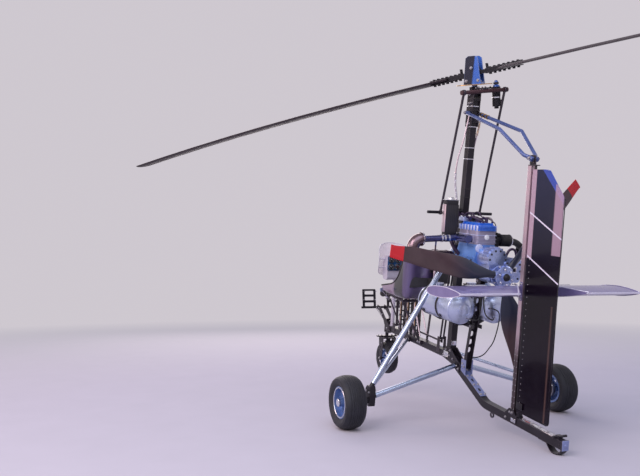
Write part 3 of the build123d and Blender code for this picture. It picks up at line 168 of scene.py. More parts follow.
def make_node(tree, kind, settings=None, inputs=None, output=0):
    """One node of a kind, its settings first and then its sockets' values or links."""
    made = tree.nodes.new("ShaderNode" + kind)
    for name, value in (settings or {}).items():
        if name == "stops":
            ramp = made.color_ramp
            while len(ramp.elements) < len(value):
                ramp.elements.new(0.5)
            for element, (position, colour) in zip(ramp.elements, value):
                element.position = position
                element.color = rgba(colour)
        else:
            setattr(made, name, value)
    for key, value in (inputs or {}).items():
        feed(tree, made.inputs[key], value)
    return Socket(tree, made.outputs[output])


class Finish:
    """A material under construction: its tree, its shader and the usual patterns."""

    def __init__(self, name):
        self.material = bpy.data.materials.new(name)
        self.material.use_nodes = True
        self.tree = self.material.node_tree
        self.shader = self.tree.nodes["Principled BSDF"]
        self.place = self.node("TexCoord", output="Object")

    def set(self, **sockets):
        """Values or links of the shader's own sockets."""
        for name, value in sockets.items():
            feed(self.tree, self.shader.inputs[name.replace("_", " ")], value)

    def node(self, kind, settings=None, output=0, **inputs):
        return make_node(self.tree, kind, settings, inputs, output)

    def dot(self, first, second):
        """How far one vector runs along another."""
        settings = {"operation": "DOT_PRODUCT"}
        return make_node(self.tree, "VectorMath", settings, {0: first, 1: second}, "Value")

    def noise(self, scale, detail=3.0, rough=0.55, place=None):
        return self.node("TexNoise", Vector=place or self.place, Scale=scale, Detail=detail, Roughness=rough)

    def mix(self, factor, *colours):
        """A colour between two, each a socket or plain red, green and blue."""
        first, second = [value if isinstance(value, Socket) else rgba(value) for value in colours]
        return make_node(self.tree, "Mix", {"data_type": "RGBA"}, {0: factor, 6: first, 7: second}, 2)

    def blend(self, value, low, high, *colours):
        """A colour between two, by a value's way from low to high."""
        stops = ((low, (0, 0, 0)), (high, (1000, 1000, 1000)))
        return self.mix(self.node("ValToRGB", {"stops": stops}, Fac=value), *colours)

    def bump(self, height, strength, distance):
        self.set(Normal=self.node("Bump", Height=height, Strength=strength, Distance=distance))
        return self.material

    def level(self):
        """The place in the craft's own level frame, in millimetres, as three sockets."""
        return [self.dot(self.place, row) + shift for row, shift in level_rows]

    def edges(self):
        """A mask that is 1 where the surface bends sharply within a few millimetres."""
        bevel = self.node("Bevel", {"samples": 4}, Radius=0.004)
        normal = self.node("NewGeometry", output="Normal")
        return (1.0 - self.dot(bevel, normal)) * 8.0


def painted(name, colour, shade, rough=0.35, metal=0.0, coat=0.0, wear=None, bump=0.12, change=None,
            shine=0.35):
    """Paint or coating with a slight colour drift, dust in the roughness and worn edges."""
    made = Finish(name)
    drift = made.noise(7.2, 4)
    speck = made.noise(360.0, 2)
    base = made.blend(drift, 0.3, 0.7, colour, shade)
    if change:
        base = change(made, base, *made.level())
    if wear:
        base = made.mix((made.edges() * (speck + 0.35)).clamp() * 0.5, base, wear)
    dusty = (drift * 0.22 + speck * 0.12 + (rough - 0.15)).clamp(0.04)
    made.set(Base_Color=base, Roughness=dusty, Metallic=metal, Coat_Weight=coat, Coat_Roughness=0.08,
             Specular_IOR_Level=shine)
    return made.bump(speck, bump, 0.0004)


def brushed(name, colour, shade, rough=0.3, along=(6.0, 60.0, 60.0), metal=1.0, grime=None, change=None,
            relief=0.05):
    """Bare or polished metal with fine lines along one way and soft stains."""
    made = Finish(name)
    lines = made.noise(14.0, 5, 0.7, made.node("Mapping", Vector=made.place, Scale=along))
    stain = made.noise(9.0, 4)
    base = made.blend(stain, 0.35, 0.75, colour, shade)
    if change:
        base = change(made, base, *made.level())
    if grime:
        base = made.mix((made.noise(31.0, 5) * 2.4 - 1.3).clamp() * 0.8, base, grime)
    worn = (lines * 0.16 + stain * 0.16 + (rough - 0.16)).clamp(0.03)
    made.set(Base_Color=base, Roughness=worn, Metallic=metal)
    return made.bump(lines, relief, 0.0003)


def rubbery(name, colour, dust_and_sheen, rough):
    """Matt rubber or moulded plastic with dust in its hollows; on the tyres that second colour is bluish, a
    painted sheen as well as dust.
    """
    made = Finish(name)
    speck = made.noise(220.0, 3)
    cloud = made.noise(12.0, 5)
    base = made.mix((cloud * 1.8 - 0.65).clamp() * 0.6, colour, dust_and_sheen)
    made.set(Base_Color=base, Roughness=(speck * 0.25 + (rough - 0.12)).clamp())
    return made.bump(speck, 0.25, 0.0005)


def woven(name, colour, light, threads):
    """Cloth or webbing: a plain weave in relief, and the threads' own light and dark."""
    made = Finish(name)
    x, y, z = made.level()
    warp = (x * threads).math("SINE")
    weft = ((z + y * 0.7) * threads).math("SINE")
    weave = warp * weft * 0.5 + 0.5
    cloud = made.noise(25.0, 4)
    base = made.mix((weave * 0.6 + cloud * 0.4).clamp(), colour, light)
    made.set(Base_Color=base, Roughness=(cloud * 0.1 + 0.82).clamp(), Sheen_Weight=0.25)
    return made.bump(weave, 0.35, 0.0006)


def see_through(name, tint, rough):
    """Clear plastic, a little smeared."""
    made = Finish(name)
    smear = made.noise(6.0, 5)
    made.set(Base_Color=rgba(tint), IOR=1.45, Roughness=(smear * 0.12 + rough).clamp(),
             Alpha=smear * 0.2 + 0.32)
    return made.material


# What changes over the larger pieces, each from the finish, its colour and the place in the level frame
def band(y, z, start, end, low, high):
    """A mask between two distances from a line in the side view, whose two sides have opposite signs."""
    run, climb = end[0] - start[0], end[1] - start[1]
    length = sqrt(run * run + climb * climb)
    shift = (start[0] * climb - start[1] * run) / length
    distance = y * (climb / length) - z * (run / length) - shift
    return (distance > low) * (distance < high)


def rudder_stripes_and_painted_light(made, base, x, y, z):
    """Two pinstripes, and painted reflections: a sky colour that turns bluer higher up, a lit strip down the
    nose, a lit band along the slanted top, a warm patch high at the rear and a glint low near the rear edge.
    """
    # Painted sky reflection, darker low and bluer high
    sky = made.mix((z - 1150.0) * 0.0012, (7, 4, 9), (20, 24, 60))
    base = made.mix(band(y, z, *rudder_slant, 0.0, 30.0), sky, (50, 80, 360))
    # Painted warm reflection high on the rear part
    warm_reflection = ((y - 912.0) * 0.12).clamp() * (z > 1318.0)
    base = made.mix(warm_reflection * 0.8, base, (420, 280, 360))
    # Painted glint: a narrow upright line low near the rear edge
    painted_glint = ((y - 955.0) * 0.09).hill() * (z < 1010.0)
    base = made.mix(painted_glint * 0.5, base, (160, 90, 75))
    # Lit strip down the nose: a painted reflection
    nose = (y < hinge_y + 36.0) * (z > 1280.0)
    base = made.mix(nose, base, (420, 290, 360))
    for start, end in rudder_pinstripes:
        stripe = band(y, z, start, end, -pinstripe_half, pinstripe_half)
        base = made.mix(stripe, base, (720, 660, 780))
    return base


def fin_low_dark_reflection(made, base, x, y, z):
    """The fin's lower part, darker towards the bottom above the tail boom: a painted dark reflection."""
    return made.mix(((780.0 - z) * 0.006).clamp() * 0.9, base, (35, 24, 28))


def engine_castings(made, base, x, y, z):
    """Mauve-grey barrels on the pale blue crankcase, which is lit in the middle."""
    base = made.mix(z > 1316.0, base, (360, 330, 440))
    lit = ((x - 32.0) * 0.03).hill() * (z < 1300.0)
    return made.mix(lit * 0.4, base, (500, 680, 950))


def propeller_tips_and_reflection(made, base, x, y, z):
    """Red squares at the propeller's tips, and blue-black roots that are a painted dark reflection."""
    rise = z - prop_z
    reach = (x * x + rise * rise).math("SQRT")
    # Blue-black roots: a painted reflection
    base = made.mix(((430.0 - reach) * 0.006).clamp(), base, (12, 16, 35))
    return made.mix(reach > tip_start, base, (550, 12, 20))


def pipe_stain(made, base, x, y, z):
    """The dark blue straight pipe, and the heat-browned elbow and silencer."""
    heat = made.noise(18.0, 4)
    base = made.mix((heat * 2.0 - 0.6).clamp() * 0.6, base, (160, 90, 100))
    return made.mix((x < 400.0) * (z > 1290.0), base, (110, 120, 270))


def tower_light(made, base, x, y, z):
    """The towers' sky-lit rear halves."""
    across = y * 0.36 - x * 0.93
    return made.mix(((across + 52.0) * 0.12).clamp(), (12, 12, 30), base)


def wing_light(made, base, x, y, z):
    """Silver painted highlights along the stabiliser's trailing edge and cut-out."""
    # Painted highlight along the edges
    edge = (y > 962.0) + (y < 598.0)
    return made.mix(edge.clamp(), base, (600, 580, 680))


def core_fins(made, base, x, y, z):
    """The radiator core's fine fins, between its tanks."""
    core = (z > 1382.0) * (z < 1584.0)
    return made.mix(core * (z * 1.1).wave() * ((x * 0.42).wave() * 0.5 + 0.3), base, (70, 65, 70))


def seat_sheen_and_shade(made, base, x, y, z):
    """Painted light on the glossy shell: lit upright streaks in its back, painted shade over the front, a
    painted sunlit front edge and a pale painted highlight along the belly.
    """
    streak = ((x + 20.0) * 0.045).wave()
    base = made.mix(streak * streak * 0.7, base, (220, 170, 330))
    # Painted shade over the front part
    base = made.mix(((-612.0 - y) * 0.05).clamp(), base, (12, 10, 14))
    # Painted sunlit patch at the pan's front
    base = made.mix(((-745.0 - y) * 0.03).clamp(), base, (270, 200, 280))
    # Pale painted highlight along the belly
    return made.mix((z < 800.0) * 0.8, base, (500, 430, 500))


black_steel = painted("black_steel", (9, 7, 11), (18, 14, 21), 0.32, coat=0.12,
                      wear=(200, 170, 200), shine=0.3)
black_satin = painted("black_satin", (9, 8, 11), (18, 16, 22), 0.48, wear=(120, 110, 130),
                      shine=0.25)
black_leg = painted("black_leg", (14, 10, 16), (35, 27, 40), 0.34, wear=(340, 290, 340))
dark_red_bar = painted("dark_red_bar", (40, 14, 18), (60, 24, 30), 0.4, wear=(200, 120, 120))
blue_paint = painted("blue_paint", (130, 160, 330), (200, 230, 420), 0.3, coat=0.5, wear=(400, 440, 600))
brace_blue = painted("brace_blue", (45, 75, 220), (80, 120, 300), 0.3, 0.2, 0.4, wear=(400, 400, 600))
tower_blue = painted("tower_blue", (40, 120, 460), (70, 180, 580), 0.26, coat=0.5, wear=(300, 400, 700),
                     change=tower_light)
motor_blue = painted("motor_blue", (40, 120, 460), (70, 180, 580), 0.26, coat=0.5)
blue_silver = brushed("blue_silver", (500, 570, 720), (380, 440, 580), 0.28)
bright_metal = brushed("bright_metal", (740, 750, 800), (580, 580, 660), 0.2)
dull_metal = brushed("dull_metal", (420, 410, 450), (280, 270, 310), 0.4, grime=(120, 100, 90))
pink_metal = brushed("pink_metal", (600, 500, 550), (500, 400, 460), 0.34)
exhaust_steel = brushed("exhaust_steel", (260, 190, 220), (170, 120, 140), 0.26, (20.0, 20.0, 20.0),
                        change=pipe_stain)
polished_tank = brushed("polished_tank", (600, 660, 840), (550, 610, 800), along=(60.0, 5.0, 60.0),
                        relief=0.008)
gold_edge = brushed("gold_edge", (680, 460, 200), (500, 330, 140))
# The tyres' bluish second colour is dust and a painted sheen
tyre_rubber = rubbery("tyre_rubber", (10, 10, 15), (30, 31, 48), 0.62)
black_rubber = rubbery("black_rubber", (13, 12, 14), (30, 26, 28), 0.6)
plum_rubber = rubbery("plum_rubber", (35, 16, 50), (70, 40, 80), 0.45)
rim_paint = painted("rim_paint", (100, 180, 420), (200, 300, 550), 0.26, 0.5, 0.3, wear=(500, 520, 620))
engine_blue = painted("engine_blue", (15, 120, 620), (30, 200, 780), 0.28, 0.2, 0.3, wear=(400, 550, 850))
case_blue = painted("case_blue", (80, 200, 550), (160, 320, 720), 0.34, 0.5, wear=(550, 620, 750),
                    change=engine_castings)
gear_silver = brushed("gear_silver", (480, 560, 820), (320, 380, 640), 0.3, (20.0, 20.0, 20.0), 0.8,
                      grime=(100, 90, 140))
pale_casting = painted("pale_casting", (500, 560, 800), (620, 660, 860), 0.34, 0.3)
gloss_black = painted("gloss_black", (6, 4, 8), (9, 7, 13), 0.2, coat=0.2, bump=0.03,
                      change=rudder_stripes_and_painted_light, shine=0.15)
fin_metal = brushed("fin_metal", (560, 430, 480), (440, 340, 400), 0.36, (60.0, 60.0, 5.0), 0.75,
                    change=fin_low_dark_reflection)
wing_skin = painted("wing_skin", (150, 120, 270), (210, 175, 350), 0.28, 0.1, 0.3, change=wing_light)
blade_skin = painted("blade_skin", (26, 17, 22), (45, 30, 38), 0.5, shine=0.2)
prop_wood = painted("prop_wood", (50, 26, 30), (75, 42, 46), 0.34, coat=0.25,
                    change=propeller_tips_and_reflection)
pod_white = painted("pod_white", (460, 430, 520), (560, 520, 600), 0.26, coat=0.5)
panel_blue = painted("panel_blue", (12, 50, 150), (20, 80, 200), 0.3, coat=0.4)
dial_black = painted("dial_black", (8, 10, 14), (14, 16, 20), 0.4)
dial_white = painted("dial_white", (700, 700, 720), (780, 780, 800), 0.5)
# edge_pale on the stabiliser's edge lines is a painted highlight
edge_pale = painted("edge_pale", (600, 560, 680), (680, 640, 740), 0.3, 0.2)
signal_red = painted("signal_red", (420, 15, 20), (500, 30, 30), coat=0.3)
seat_purple = painted("seat_purple", (35, 22, 65), (50, 34, 90), 0.18, coat=0.8, bump=0.03,
                      change=seat_sheen_and_shade)
pad_cloth = woven("pad_cloth", (12, 11, 15), (40, 36, 46), 1.6)
belt_web = woven("belt_web", (30, 30, 36), (70, 70, 80), 2.4)
bolt_zinc = brushed("bolt_zinc", (500, 490, 520), (360, 340, 370), 0.34)
radiator_black = painted("radiator_black", (12, 11, 14), (24, 22, 28), 0.45, change=core_fins)
screen_clear = see_through("screen_clear", (860, 760, 820), 0.03)

finishes = {
    black_steel: "keel mast mast_foot_plates strut_lugs steering_head nose_fork tank_cradle fin_fittings "
                 "engine_bed aft_post axle_knuckles mast_cheeks tail_skid",
    black_leg: "seat_frame control_rods",
    black_satin: "nose_mudguard rotor_gimbal pre_rotator_motor control_crossbar carburettors rudder_pedals "
                 "blade_straps rotor_hub_bar",
    plum_rubber: "plug_caps",
    dark_red_bar: "torque_bar",
    radiator_black: "radiator",
    blue_paint: "drop_gusset",
    brace_blue: "tail_braces",
    tower_blue: "rotor_towers",
    blue_silver: "gear_struts",
    dull_metal: "tank_straps",
    exhaust_steel: "exhaust_silencer",
    polished_tank: "fuel_tanks",
    gold_edge: "ring_gear",
    tyre_rubber: "main_tyre_left main_tyre_right nose_tyre",
    black_rubber: "engine_mounts",
    rim_paint: "main_rim_left main_rim_right nose_rim",
    engine_blue: "cylinder_head",
    case_blue: "engine_block",
    gear_silver: "gearbox propeller_hub",
    gloss_black: "rudder",
    fin_metal: "fin",
    wing_skin: "stabiliser",
    blade_skin: "rotor_blades",
    prop_wood: "propeller_blades",
    pod_white: "instrument_pod",
    seat_purple: "seat_shell",
    pad_cloth: "seat_pads",
    screen_clear: "windscreen",
}
for finish, nodes in finishes.items():
    for node in nodes.split():
        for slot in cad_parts[node].material_slots:
            slot.material = finish


# Floor and light
def backdrop_rays(tree):
    """1 for the rays that show the backdrop: the camera's own, and those by way of metal or clear plastic."""
    seen, mirrored, passed = [make_node(tree, "LightPath", output=f"Is {way} Ray")
                              for way in ("Camera", "Glossy", "Transmission")]
    return (seen + mirrored + passed).clamp()


floor_size = 80.0
clear_floor, fade_rate = 3.5, 0.11
backdrop = (620, 580, 630)
bpy.ops.mesh.primitive_plane_add(size=floor_size)
floor = bpy.context.object
floor.name = "studio_floor"
pale = Finish("pale_floor")
grain = pale.noise(3.0, 4)
floor_x, floor_y = [pale.node("SeparateXYZ", output=axis, Vector=pale.place) for axis in "XY"]
distance = (floor_x * floor_x + floor_y * floor_y).math("SQRT")
far = ((distance - clear_floor) * fade_rate).clamp()
near_paint = pale.mix(grain, (500, 465, 500), (540, 500, 540))
pale.set(Base_Color=pale.mix(far, near_paint, (0, 0, 0)), Roughness=(grain * 0.1 + 0.85).clamp(),
         Emission_Color=pale.mix(far * backdrop_rays(pale.tree), (0, 0, 0), backdrop),
         Emission_Strength=1.0, Specular_IOR_Level=0.0)
floor.data.materials.append(pale.material)

world = bpy.data.worlds.new("soft_world")
scene.world = world
world.use_nodes = True
tree = world.node_tree
height = make_node(tree, "SeparateXYZ", inputs={0: make_node(tree, "TexCoord")}, output="Z")
sky_stops = ((0.0, (620, 540, 600)), (0.12, (960, 880, 900)), (0.5, (720, 760, 960)), (1.0, (500, 580, 950)))
sky = tree.nodes["Background"]
feed(tree, sky.inputs["Color"], make_node(tree, "ValToRGB", {"stops": sky_stops}, {"Fac": height}))
sky.inputs["Strength"].default_value = 0.7
plain = make_node(tree, "Background", inputs={"Color": rgba(backdrop)})
lit = Socket(tree, sky.outputs[0])
choice = make_node(tree, "MixShader", inputs={0: backdrop_rays(tree), 1: lit, 2: plain})
feed(tree, tree.nodes["World Output"].inputs["Surface"], choice)

lamps_aim = Vector((0, -0.2, 1.0))
for name, place, size, power, tone in (
        ("key_light", (6.0, 3.0, 5.0), 5.0, 330.0, (1000, 900, 930)),
        ("sky_light", (1.0, 6.5, 7.5), 7.0, 300.0, (750, 840, 1000)),
        ("back_light", (-1.0, -7.5, 4.5), 6.0, 300.0, (1000, 900, 880)),
        ("low_sun", (9.0, -4.0, 3.4), 4.0, 190.0, (1000, 740, 680))):
    lamp_data = bpy.data.lights.new(name, "AREA")
    lamp_data.size = size
    lamp_data.energy = power
    lamp_data.color = rgba(tone)[:3]
    lamp = bpy.data.objects.new(name, lamp_data)
    lamp.location = place
    lamp.rotation_euler = (lamps_aim - Vector(place)).to_track_quat("-Z", "Y").to_euler()
    scene.collection.objects.link(lamp)


# Steps that shape a piece, as at the workbench
def take(piece):
    """Leave one object selected and active."""
    bpy.ops.object.select_all(action="DESELECT")
    piece.select_set(True)
    bpy.context.view_layer.objects.active = piece
    return piece


def apply(piece, kind, **settings):
    """Add a modifier, set it up and apply it."""
    step = take(piece).modifiers.new(kind.lower(), kind)
    for name, value in settings.items():
        setattr(step, name, value)
    bpy.ops.object.modifier_apply(modifier=step.name)
    return piece


def settle(piece):
    """Put an object's place, turn and size into its mesh."""
    take(piece)
    bpy.ops.object.transform_apply(location=True, rotation=True, scale=True)
    return piece


def soften(piece, width, segments=2, angle=35):
    """Bevel the sharp edges of a piece."""
    return apply(piece, "BEVEL", width=width, segments=segments, limit_method="ANGLE",
                 angle_limit=radians(angle))


def rod(radius, start, end, corners=24, rim=0.0, tip=None):
    """A round bar between two places, or a taper where its tip has another radius."""
    start, end = Vector(start), Vector(end)
    along = end - start
    stand = {"vertices": corners, "depth": along.length, "location": (start + end) / 2,
             "rotation": along.to_track_quat("Z", "Y").to_euler()}
    if tip is None:
        bpy.ops.mesh.primitive_cylinder_add(radius=radius, **stand)
    else:
        bpy.ops.mesh.primitive_cone_add(radius1=radius, radius2=tip, **stand)
    piece = settle(bpy.context.object)
    return soften(piece, rim) if rim else piece


def block(size, place, rim=0.0, turn=(0, 0, 0), segments=2):
    """A box of a size about a place, its edges rounded."""
    bpy.ops.mesh.primitive_cube_add(size=1, location=place, rotation=[radians(a) for a in turn])
    piece = bpy.context.object
    piece.scale = size
    settle(piece)
    return soften(piece, rim, segments) if rim else piece


def ring(major, minor, place, axis, steps=48, corners=12):
    """A torus about an axis."""
    bpy.ops.mesh.primitive_torus_add(
        major_radius=major, minor_radius=minor, major_segments=steps, minor_segments=corners, location=place,
        rotation=Vector(axis).to_track_quat("Z", "Y").to_euler())
    return settle(bpy.context.object)


def join(*pieces):
    """Make several objects one."""
    bpy.ops.object.select_all(action="DESELECT")
    for piece in pieces:
        piece.select_set(True)
    bpy.context.view_layer.objects.active = pieces[0]
    bpy.ops.object.join()
    return pieces[0]


def paint(piece, finish):
    """Give a whole object one finish."""
    piece.data.materials.clear()
    piece.data.materials.append(finish)
    return piece


def kit(*rows):
    """Pieces made and painted, from rows of a finish, a shape and the shape's values."""
    return [paint(shape(*values), finish) for finish, shape, *values in rows]


def facing(place, out, spin=0.0):
    """A frame at a place whose z looks outwards."""
    turn = Vector(out).to_track_quat("Z", "Y").to_matrix().to_4x4()
    return Matrix.Translation(place) @ turn @ Matrix.Rotation(spin, 4, "Z")


def copies(source, frames):
    """One object made of copies of a source, each at its frame; the source goes."""
    made = []
    for place in frames:
        twin = source.copy()
        twin.data = source.data.copy()
        scene.collection.objects.link(twin)
        twin.data.transform(place)
        made.append(twin)
    bpy.data.objects.remove(source)
    return join(*made)


def circle(radius, count, start=0.0, turn=2 * pi):
    """Points round a circle, each as its first and second distance from the middle."""
    angles = [start + turn * index / count for index in range(count)]
    return [(radius * cos(angle), radius * sin(angle)) for angle in angles]


def both_sides(*places):
    """Places on the port side, each followed by its twin to starboard, and each with its outward axis."""
    return [((side * x, y, z), (side, 0, 0)) for x, y, z in places for side in sides]


def bolts(places, across=6.5, height=5.5, finish=None):
    """Hexagon bolt heads on washers, modelled once and copied to each (place, outward axis)."""
    washer_top = 1.6
    bolt_turn = 0.7
    bpy.ops.mesh.primitive_cylinder_add(vertices=6, radius=across, depth=height,
                                        location=(0, 0, washer_top + height / 2))
    head = soften(settle(bpy.context.object), across * 0.12, 1, 50)
    washer = soften(rod(across * 1.35, (0, 0, 0), (0, 0, washer_top), 16), 0.4, 1)
    shank = rod(across * 0.5, (0, 0, height + 1), (0, 0, height + 3.4), 10, tip=across * 0.4)
    kit = paint(join(head, washer, shank), finish or bolt_zinc)
    return copies(kit, [facing(place, out, index * bolt_turn) for index, (place, out) in enumerate(places)])


def lathe(profile, place, axis, steps=64):
    """A closed profile of (radius, height) spun about an axis."""
    mesh = bpy.data.meshes.new("profile")
    count = len(profile)
    mesh.from_pydata([(radius, 0, height) for radius, height in profile],
                     [(index, (index + 1) % count) for index in range(count)], [])
    piece = bpy.data.objects.new("profile", mesh)
    scene.collection.objects.link(piece)
    take(piece)
    bpy.ops.object.mode_set(mode="EDIT")
    bpy.ops.mesh.select_all(action="SELECT")
    bpy.ops.mesh.spin(steps=steps, angle=2 * pi, center=(0, 0, 0), axis=up, use_normal_flip=False)
    bpy.ops.mesh.select_all(action="SELECT")
    bpy.ops.mesh.remove_doubles(threshold=0.0005)
    bpy.ops.mesh.normals_make_consistent(inside=False)
    bpy.ops.object.mode_set(mode="OBJECT")
    piece.data.transform(facing(place, axis))
    return piece


def hoop(inner, outer, half, place, axis, steps):
    """A flat band round an axis."""
    return lathe([(inner, -half), (outer, -half), (outer, half), (inner, half)], place, axis, steps)


def smooth_curve(name, points, radius, closed=False, roundness=4, steps=8):
    """A round, smooth curve along a few points, with closed ends."""
    curve = bpy.data.curves.new(name, "CURVE")
    curve.dimensions = "3D"
    spline = curve.splines.new("NURBS")
    spline.points.add(len(points) - 1)
    for knot, point in zip(spline.points, points):
        knot.co = (*point, 1)
    spline.order_u = 3
    spline.use_endpoint_u = True
    spline.use_cyclic_u = closed
    spline.resolution_u = steps
    curve.bevel_depth = radius
    curve.bevel_resolution = roundness
    curve.use_fill_caps = True
    piece = bpy.data.objects.new(name, curve)
    scene.collection.objects.link(piece)
    return piece


def line(points, radius, closed=False, roundness=4):
    """A smooth tube along a few points, as a mesh."""
    take(smooth_curve("line", points, radius, closed, roundness))
    bpy.ops.object.convert(target="MESH")
    return bpy.context.object


def coil(start, end, radius, wire, turns, finish):
    """A wire wound about the line between two places."""
    start, end = Vector(start), Vector(end)
    along = end - start
    turn = along.to_track_quat("Z", "Y")
    steps = turns * 8
    points = []
    for index in range(steps + 1):
        angle = 2 * pi * turns * index / steps
        offset = Vector((radius * cos(angle), radius * sin(angle), along.length * index / steps))
        points.append(start + turn @ offset)
    return paint(line(points, wire, roundness=1), finish)


def put(pieces, name, finish=None, body="frame", instead=(), smooth=35, frame_at=None):
    """Finish a piece: joined, placed and named, finish, body and the nodes it replaces."""
    piece = settle(join(*pieces) if isinstance(pieces, list) else pieces)
    if frame_at is not None:
        piece.data.transform(frame_at)
    piece.data.transform(to_scene)
    piece.name = name
    piece.data.name = name
    if finish:
        paint(piece, finish)
    take(piece)
    bpy.ops.object.shade_smooth_by_angle(angle=radians(smooth))
    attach(piece, body)
    if instead:
        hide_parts(*instead)


# The hanging hose of the starboard tank: out of the rear dome's fitting, down, and back into the keel's slope
hose_points = ((-70, 216, 866), (-70, 240, 866), (-68, 290, 871), (-63, 346, 862), (-60, 354, 800),
               (-60, 334, 720), (-58, 306, 640), (-57, 262, 590), (-56, 216, 537), (-58, 150, 500),
               (-57, 80, 478), (-52, 48, 466), (-30, 40, 446))
hose_width = 0.008
hose = smooth_curve("fuel_hose", [craft(point) for point in hose_points], hose_width / 2, steps=12)
hose.data.materials.append(black_rubber)
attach(hose, "frame")


# Wheels
def tyre(radius, width, rim, bead, grooves, place):
    """A ribbed tyre: crown with narrow grooves, rounded shoulders, ringed sidewalls and beads."""
    crown_drop, groove_depth = 11.0, 3.6
    half = width / 2
    belly = rim + 0.55 * (radius - rim)
    crown_half = half * 0.8
    outline = []
    steps = 40
    for index in range(steps + 1):
        across = -crown_half + 2 * crown_half * index / steps
        drop = crown_drop * (across / crown_half) ** 2
        grooved = any(abs(across - groove) < crown_half / steps * 1.1 for groove in grooves)
        outline.append((radius - drop - (groove_depth if grooved else 0.0), across))
    side = ((radius - 19, half * 0.93), (belly + 15, half * 0.995), (belly + 9, half * 0.985),
            (belly + 5, half + 0.8), (belly - 3, half + 0.4), (belly - 12, half * 0.97),
            (rim + 17, half * 0.86), (rim + 9, bead), (rim + 1, bead - 3))
    outline += list(side)
    outline += [(reach, -across) for reach, across in reversed(side)]
    return lathe(outline, place, port, 88)


hub_cap_profile = [(0.01, -30), (20, -30), (20, -14), (28, -12), (28, -3), (24, 0), (0.01, 0)]
plate_bolts = ((-24, 250), (20, 250), (-20, 168), (16, 168))
inner_bolts = ((-24, 262), (16, 262), (-16, 172), (14, 172))
for side, word in ((1, "left"), (-1, "right")):
    wheel = word + "_main_wheel"
    centre = Vector((side * 892, 0, axle_height))
    out = Vector((side, 0, 0))
    put(tyre(185, 150, 101, 54, (-42, -28, -14, 0, 14, 28, 42), centre), "tyre_ribbed_" + word,
        tyre_rubber, wheel, ("main_tyre_" + word,), 40)
    cap = paint(lathe(hub_cap_profile, centre + out * 74, out, 40), bright_metal)
    heads = bolts([(centre + out * 13.8 + Vector((0, y, z)), out) for y, z in circle(34, 6)], 5.5, 5)
    stem_foot, stem_top = centre + out * 22 + Vector((0, 66, 34)), centre + out * 50 + Vector((0, 72, 37))
    put([cap, heads, *kit((bright_metal, ring, 101.5, 4.6, centre + out * 58.6, port, 72, 10),
                          (black_rubber, rod, 3, stem_foot, stem_top, 12))],
        "wheel_trim_" + word, body=wheel)
    drum = lathe([(26, -8), (66, -8), (70, -4), (70, 22), (66, 26), (26, 26)], centre - out * 84, out, 56)
    put(drum, "brake_drum_" + word, dull_metal, wheel)
    plate = kit((black_steel, lathe, [(24.5, 0), (58, 0), (58, 5), (24.5, 5)], centre - out * 104, out, 48),
                (black_steel, block, (10, 70, 16), centre + Vector((side * -112, 46, 26)), 3, (20, 0, 0)))
    pins = bolts([((side * 738.2, y, z), out) for y, z in plate_bolts], 7, 6)
    inner = bolts([((side * 693.8, y, z), -out) for y, z in inner_bolts], 7, 6)
    put([*plate, pins, inner], "brake_plate_" + word)

nose_centre = Vector((0, -1178, 169))
put(tyre(141, 94, 72, 32, (-24, -8, 8, 24), nose_centre), "tyre_ribbed_nose", tyre_rubber,
    "nose_wheel", ("nose_tyre",), 40)
nose_caps = kit(*[(bright_metal, ring, 72.5, 3.6, nose_centre + Vector((x, 0, 0)), port, 56, 8)
                  for x in (-36, 36)])
nose_heads = bolts([(nose_centre + Vector((18.4, y, z)), port) for y, z in circle(30, 5)], 4.5, 4)
put([nose_heads, *nose_caps], "nose_wheel_trim", body="nose_wheel")
axle_nuts = bolts(both_sides((74, *nose_centre.yz)), 9, 8)
crown_nuts = bolts([((x, -1206, 366), up) for x in (-84, 84, -50, 50)], 6, 6)
put([axle_nuts, crown_nuts], "fork_nuts", body="steering_fork")


# Bolts and small brackets of the frame; a row has its face's distance and then (y, z) of each bolt
side_bolts = (
    (31.4, ((-186, 446), (-158, 488), (-112, 452), (-58, 436), (-14, 412), (22, 384), (-100, 492))),
    (29.4, ((616, 222), (706, 222), (656, 268), (678, 268))),
    (36.4, ((-1140, 447), (-1250, 548), (-1322, 592))),
    (37.4, ((-94, 1308), (-94, 1278), (-766, 434), (-738, 434))),
    (41.4, ((-14, 406), (14, 406))),
    (30.4, ((-110, 1066), (-84, 1068), (-104, 1112))),
    (32.0, ((200, 1062), (214, 1108))),
    (35.0, ((150, 728), (-60, 728))),
    (39.4, ((-574, 453), (-546, 453))),
    (33.0, ((80, 440), (100, 420))),
)
drop = drop_frame(60)
drop_out = drop.to_3x3() @ Vector(up)
places = both_sides(*[(face, y, z) for face, spots in side_bolts for y, z in spots])
places += [((side * 31.4, mast_y(z) + shift, z), (side, 0, 0))
           for z in (2172, 2238, 2318) for side in sides for shift in (14, -14)]
places += [((0, y, tail_top + 3), up) for y in (760, 840, 920, 1000, 1060)]
places += [(drop @ Vector((x, y, 6)), drop_out) for y in (14, 74, 170, 270) for x in (-17, 17)]
put(bolts(places, 7, 6), "frame_bolts")

put(block((36, 346, 3), (0, 906, tail_top + 1.4), 1.2), "boom_wear_strip", bright_metal)
put([block((48, 4, 62), (0, 1157.5, 223), 1.5), rod(9, (0, 1159, 223), (0, 1166, 223), 20, 1.2)],
    "boom_end_plate", blue_paint)
brackets = []
for side in sides:
    brackets += [block((4, 64, 40), (side * 34, -150, 456), 1.5),
                 block((20, 64, 4), (side * 43, -150, 438), 1.5),
                 block((5, 46, 26), (side * 32.4, 700, 226), 1.5)]
brackets.append(block((40, 5, 34), (0, mast_y(545) + 28, 545), 1.5))
put(brackets, "mast_foot_brackets", bright_metal)


